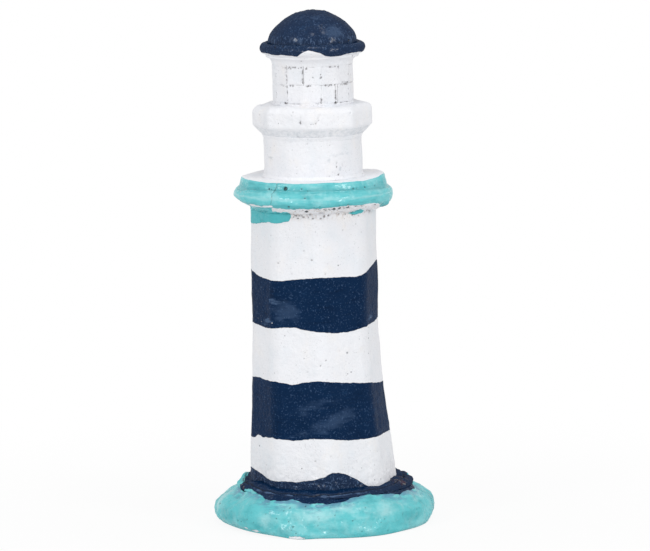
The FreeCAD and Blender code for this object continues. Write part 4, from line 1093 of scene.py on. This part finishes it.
def softbox(name, place, aim, width, watts):
    lamp = bpy.data.lights.new(name, "AREA")
    lamp.shape, lamp.size, lamp.size_y, lamp.energy = "RECTANGLE", width, width * 1.3, watts
    holder = bpy.data.objects.new(name, lamp)
    holder.location = place
    holder.rotation_euler = (Vector(aim) - Vector(place)).to_track_quat("-Z", "Y").to_euler()
    bpy.context.scene.collection.objects.link(holder)


# each lamp's name, place, aim, width in metres and power in watts
LAMPS = (
    ("softbox_left", (-1.5, -1.3, 1.3), (0, 0, 0.15), 0.45, 9.3),
    ("softbox_right", (1.5, -1.2, 1.1), (0, 0, 0.15), 0.4, 7),
    ("softbox_top", (0.1, -0.7, 2.0), (0, 0, 0.1), 0.6, 6),
    ("lamp_low_left", (-1.0, -2.2, 0.42), (0, 0, 0.2), 0.12, 4.5),
    ("lamp_low_right", (1.6, -1.8, 0.5), (0, 0, 0.2), 0.12, 4))

# the photograph's width and the camera's focal length, in its pixels
PHOTO_W = 650
FOCAL_PX = 4456
CAMERA_AWAY, CAMERA_HEIGHT_DEG, CAMERA_ROLL_DEG = 2.6, 8.0, 1.05
CAMERA_AIM_MM = (6.0, 0.0, 144.4)


def place_camera():
    camera = bpy.data.cameras.new("camera")
    camera.lens = camera.sensor_width * FOCAL_PX / PHOTO_W
    camera.clip_end = 40
    holder = bpy.data.objects.new("camera", camera)
    down, roll = math.radians(CAMERA_HEIGHT_DEG), math.radians(CAMERA_ROLL_DEG)
    ahead = Vector((0, math.cos(down), -math.sin(down)))
    right = Vector((1, 0, 0))
    up = right.cross(ahead)
    leaned_right = right * math.cos(roll) - up * math.sin(roll)
    leaned_up = up * math.cos(roll) + right * math.sin(roll)
    aim = (Vector(CAMERA_AIM_MM) + Vector((STACK_X, STACK_Y, 0))) * MM
    turn = Matrix((leaned_right, leaned_up, -ahead)).transposed().to_4x4()
    holder.matrix_world = Matrix.Translation(aim - ahead * CAMERA_AWAY) @ turn
    bpy.context.scene.collection.objects.link(holder)
    bpy.context.scene.camera = holder


# ---- everything together ----------------------------------------------------------------------

def dress(piece, material):
    piece.data.materials.clear()
    piece.data.materials.append(material)


dress(make_plinth(), plinth_paint())
dress(make_fillet(), fillet_paint())
dress(make_tower(), tower_paint())
dress(make_gallery(), gallery_paint())
dress(make_watch_room(), plain_white_paint("watch_room_white", with_grey_patches_and_shade=True))
dress(make_parapet(), plain_white_paint("parapet_white", with_grey_patches_and_shade=True))
dress(make_lantern_room(), plain_white_paint("lantern_room_white"))
dress(make_roof(), roof_paint())
crumbly, plain = bed_paint(), plain_white_paint("mortar_bed_white")
for bed in make_beds():
    dress(bed, crumbly if bed.name.startswith(("tower", "gallery")) else plain)
dress(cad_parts["centre_rod"], rod_steel())
dress(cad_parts["rod_grout"], grout())

white_surroundings(strength=0.62)
pale_floor(size=8.0, glow_near=0.91, white_from=0.4)
for lamp in LAMPS:
    softbox(*lamp)
place_camera()

bpy.context.scene.view_settings.view_transform = "Standard"
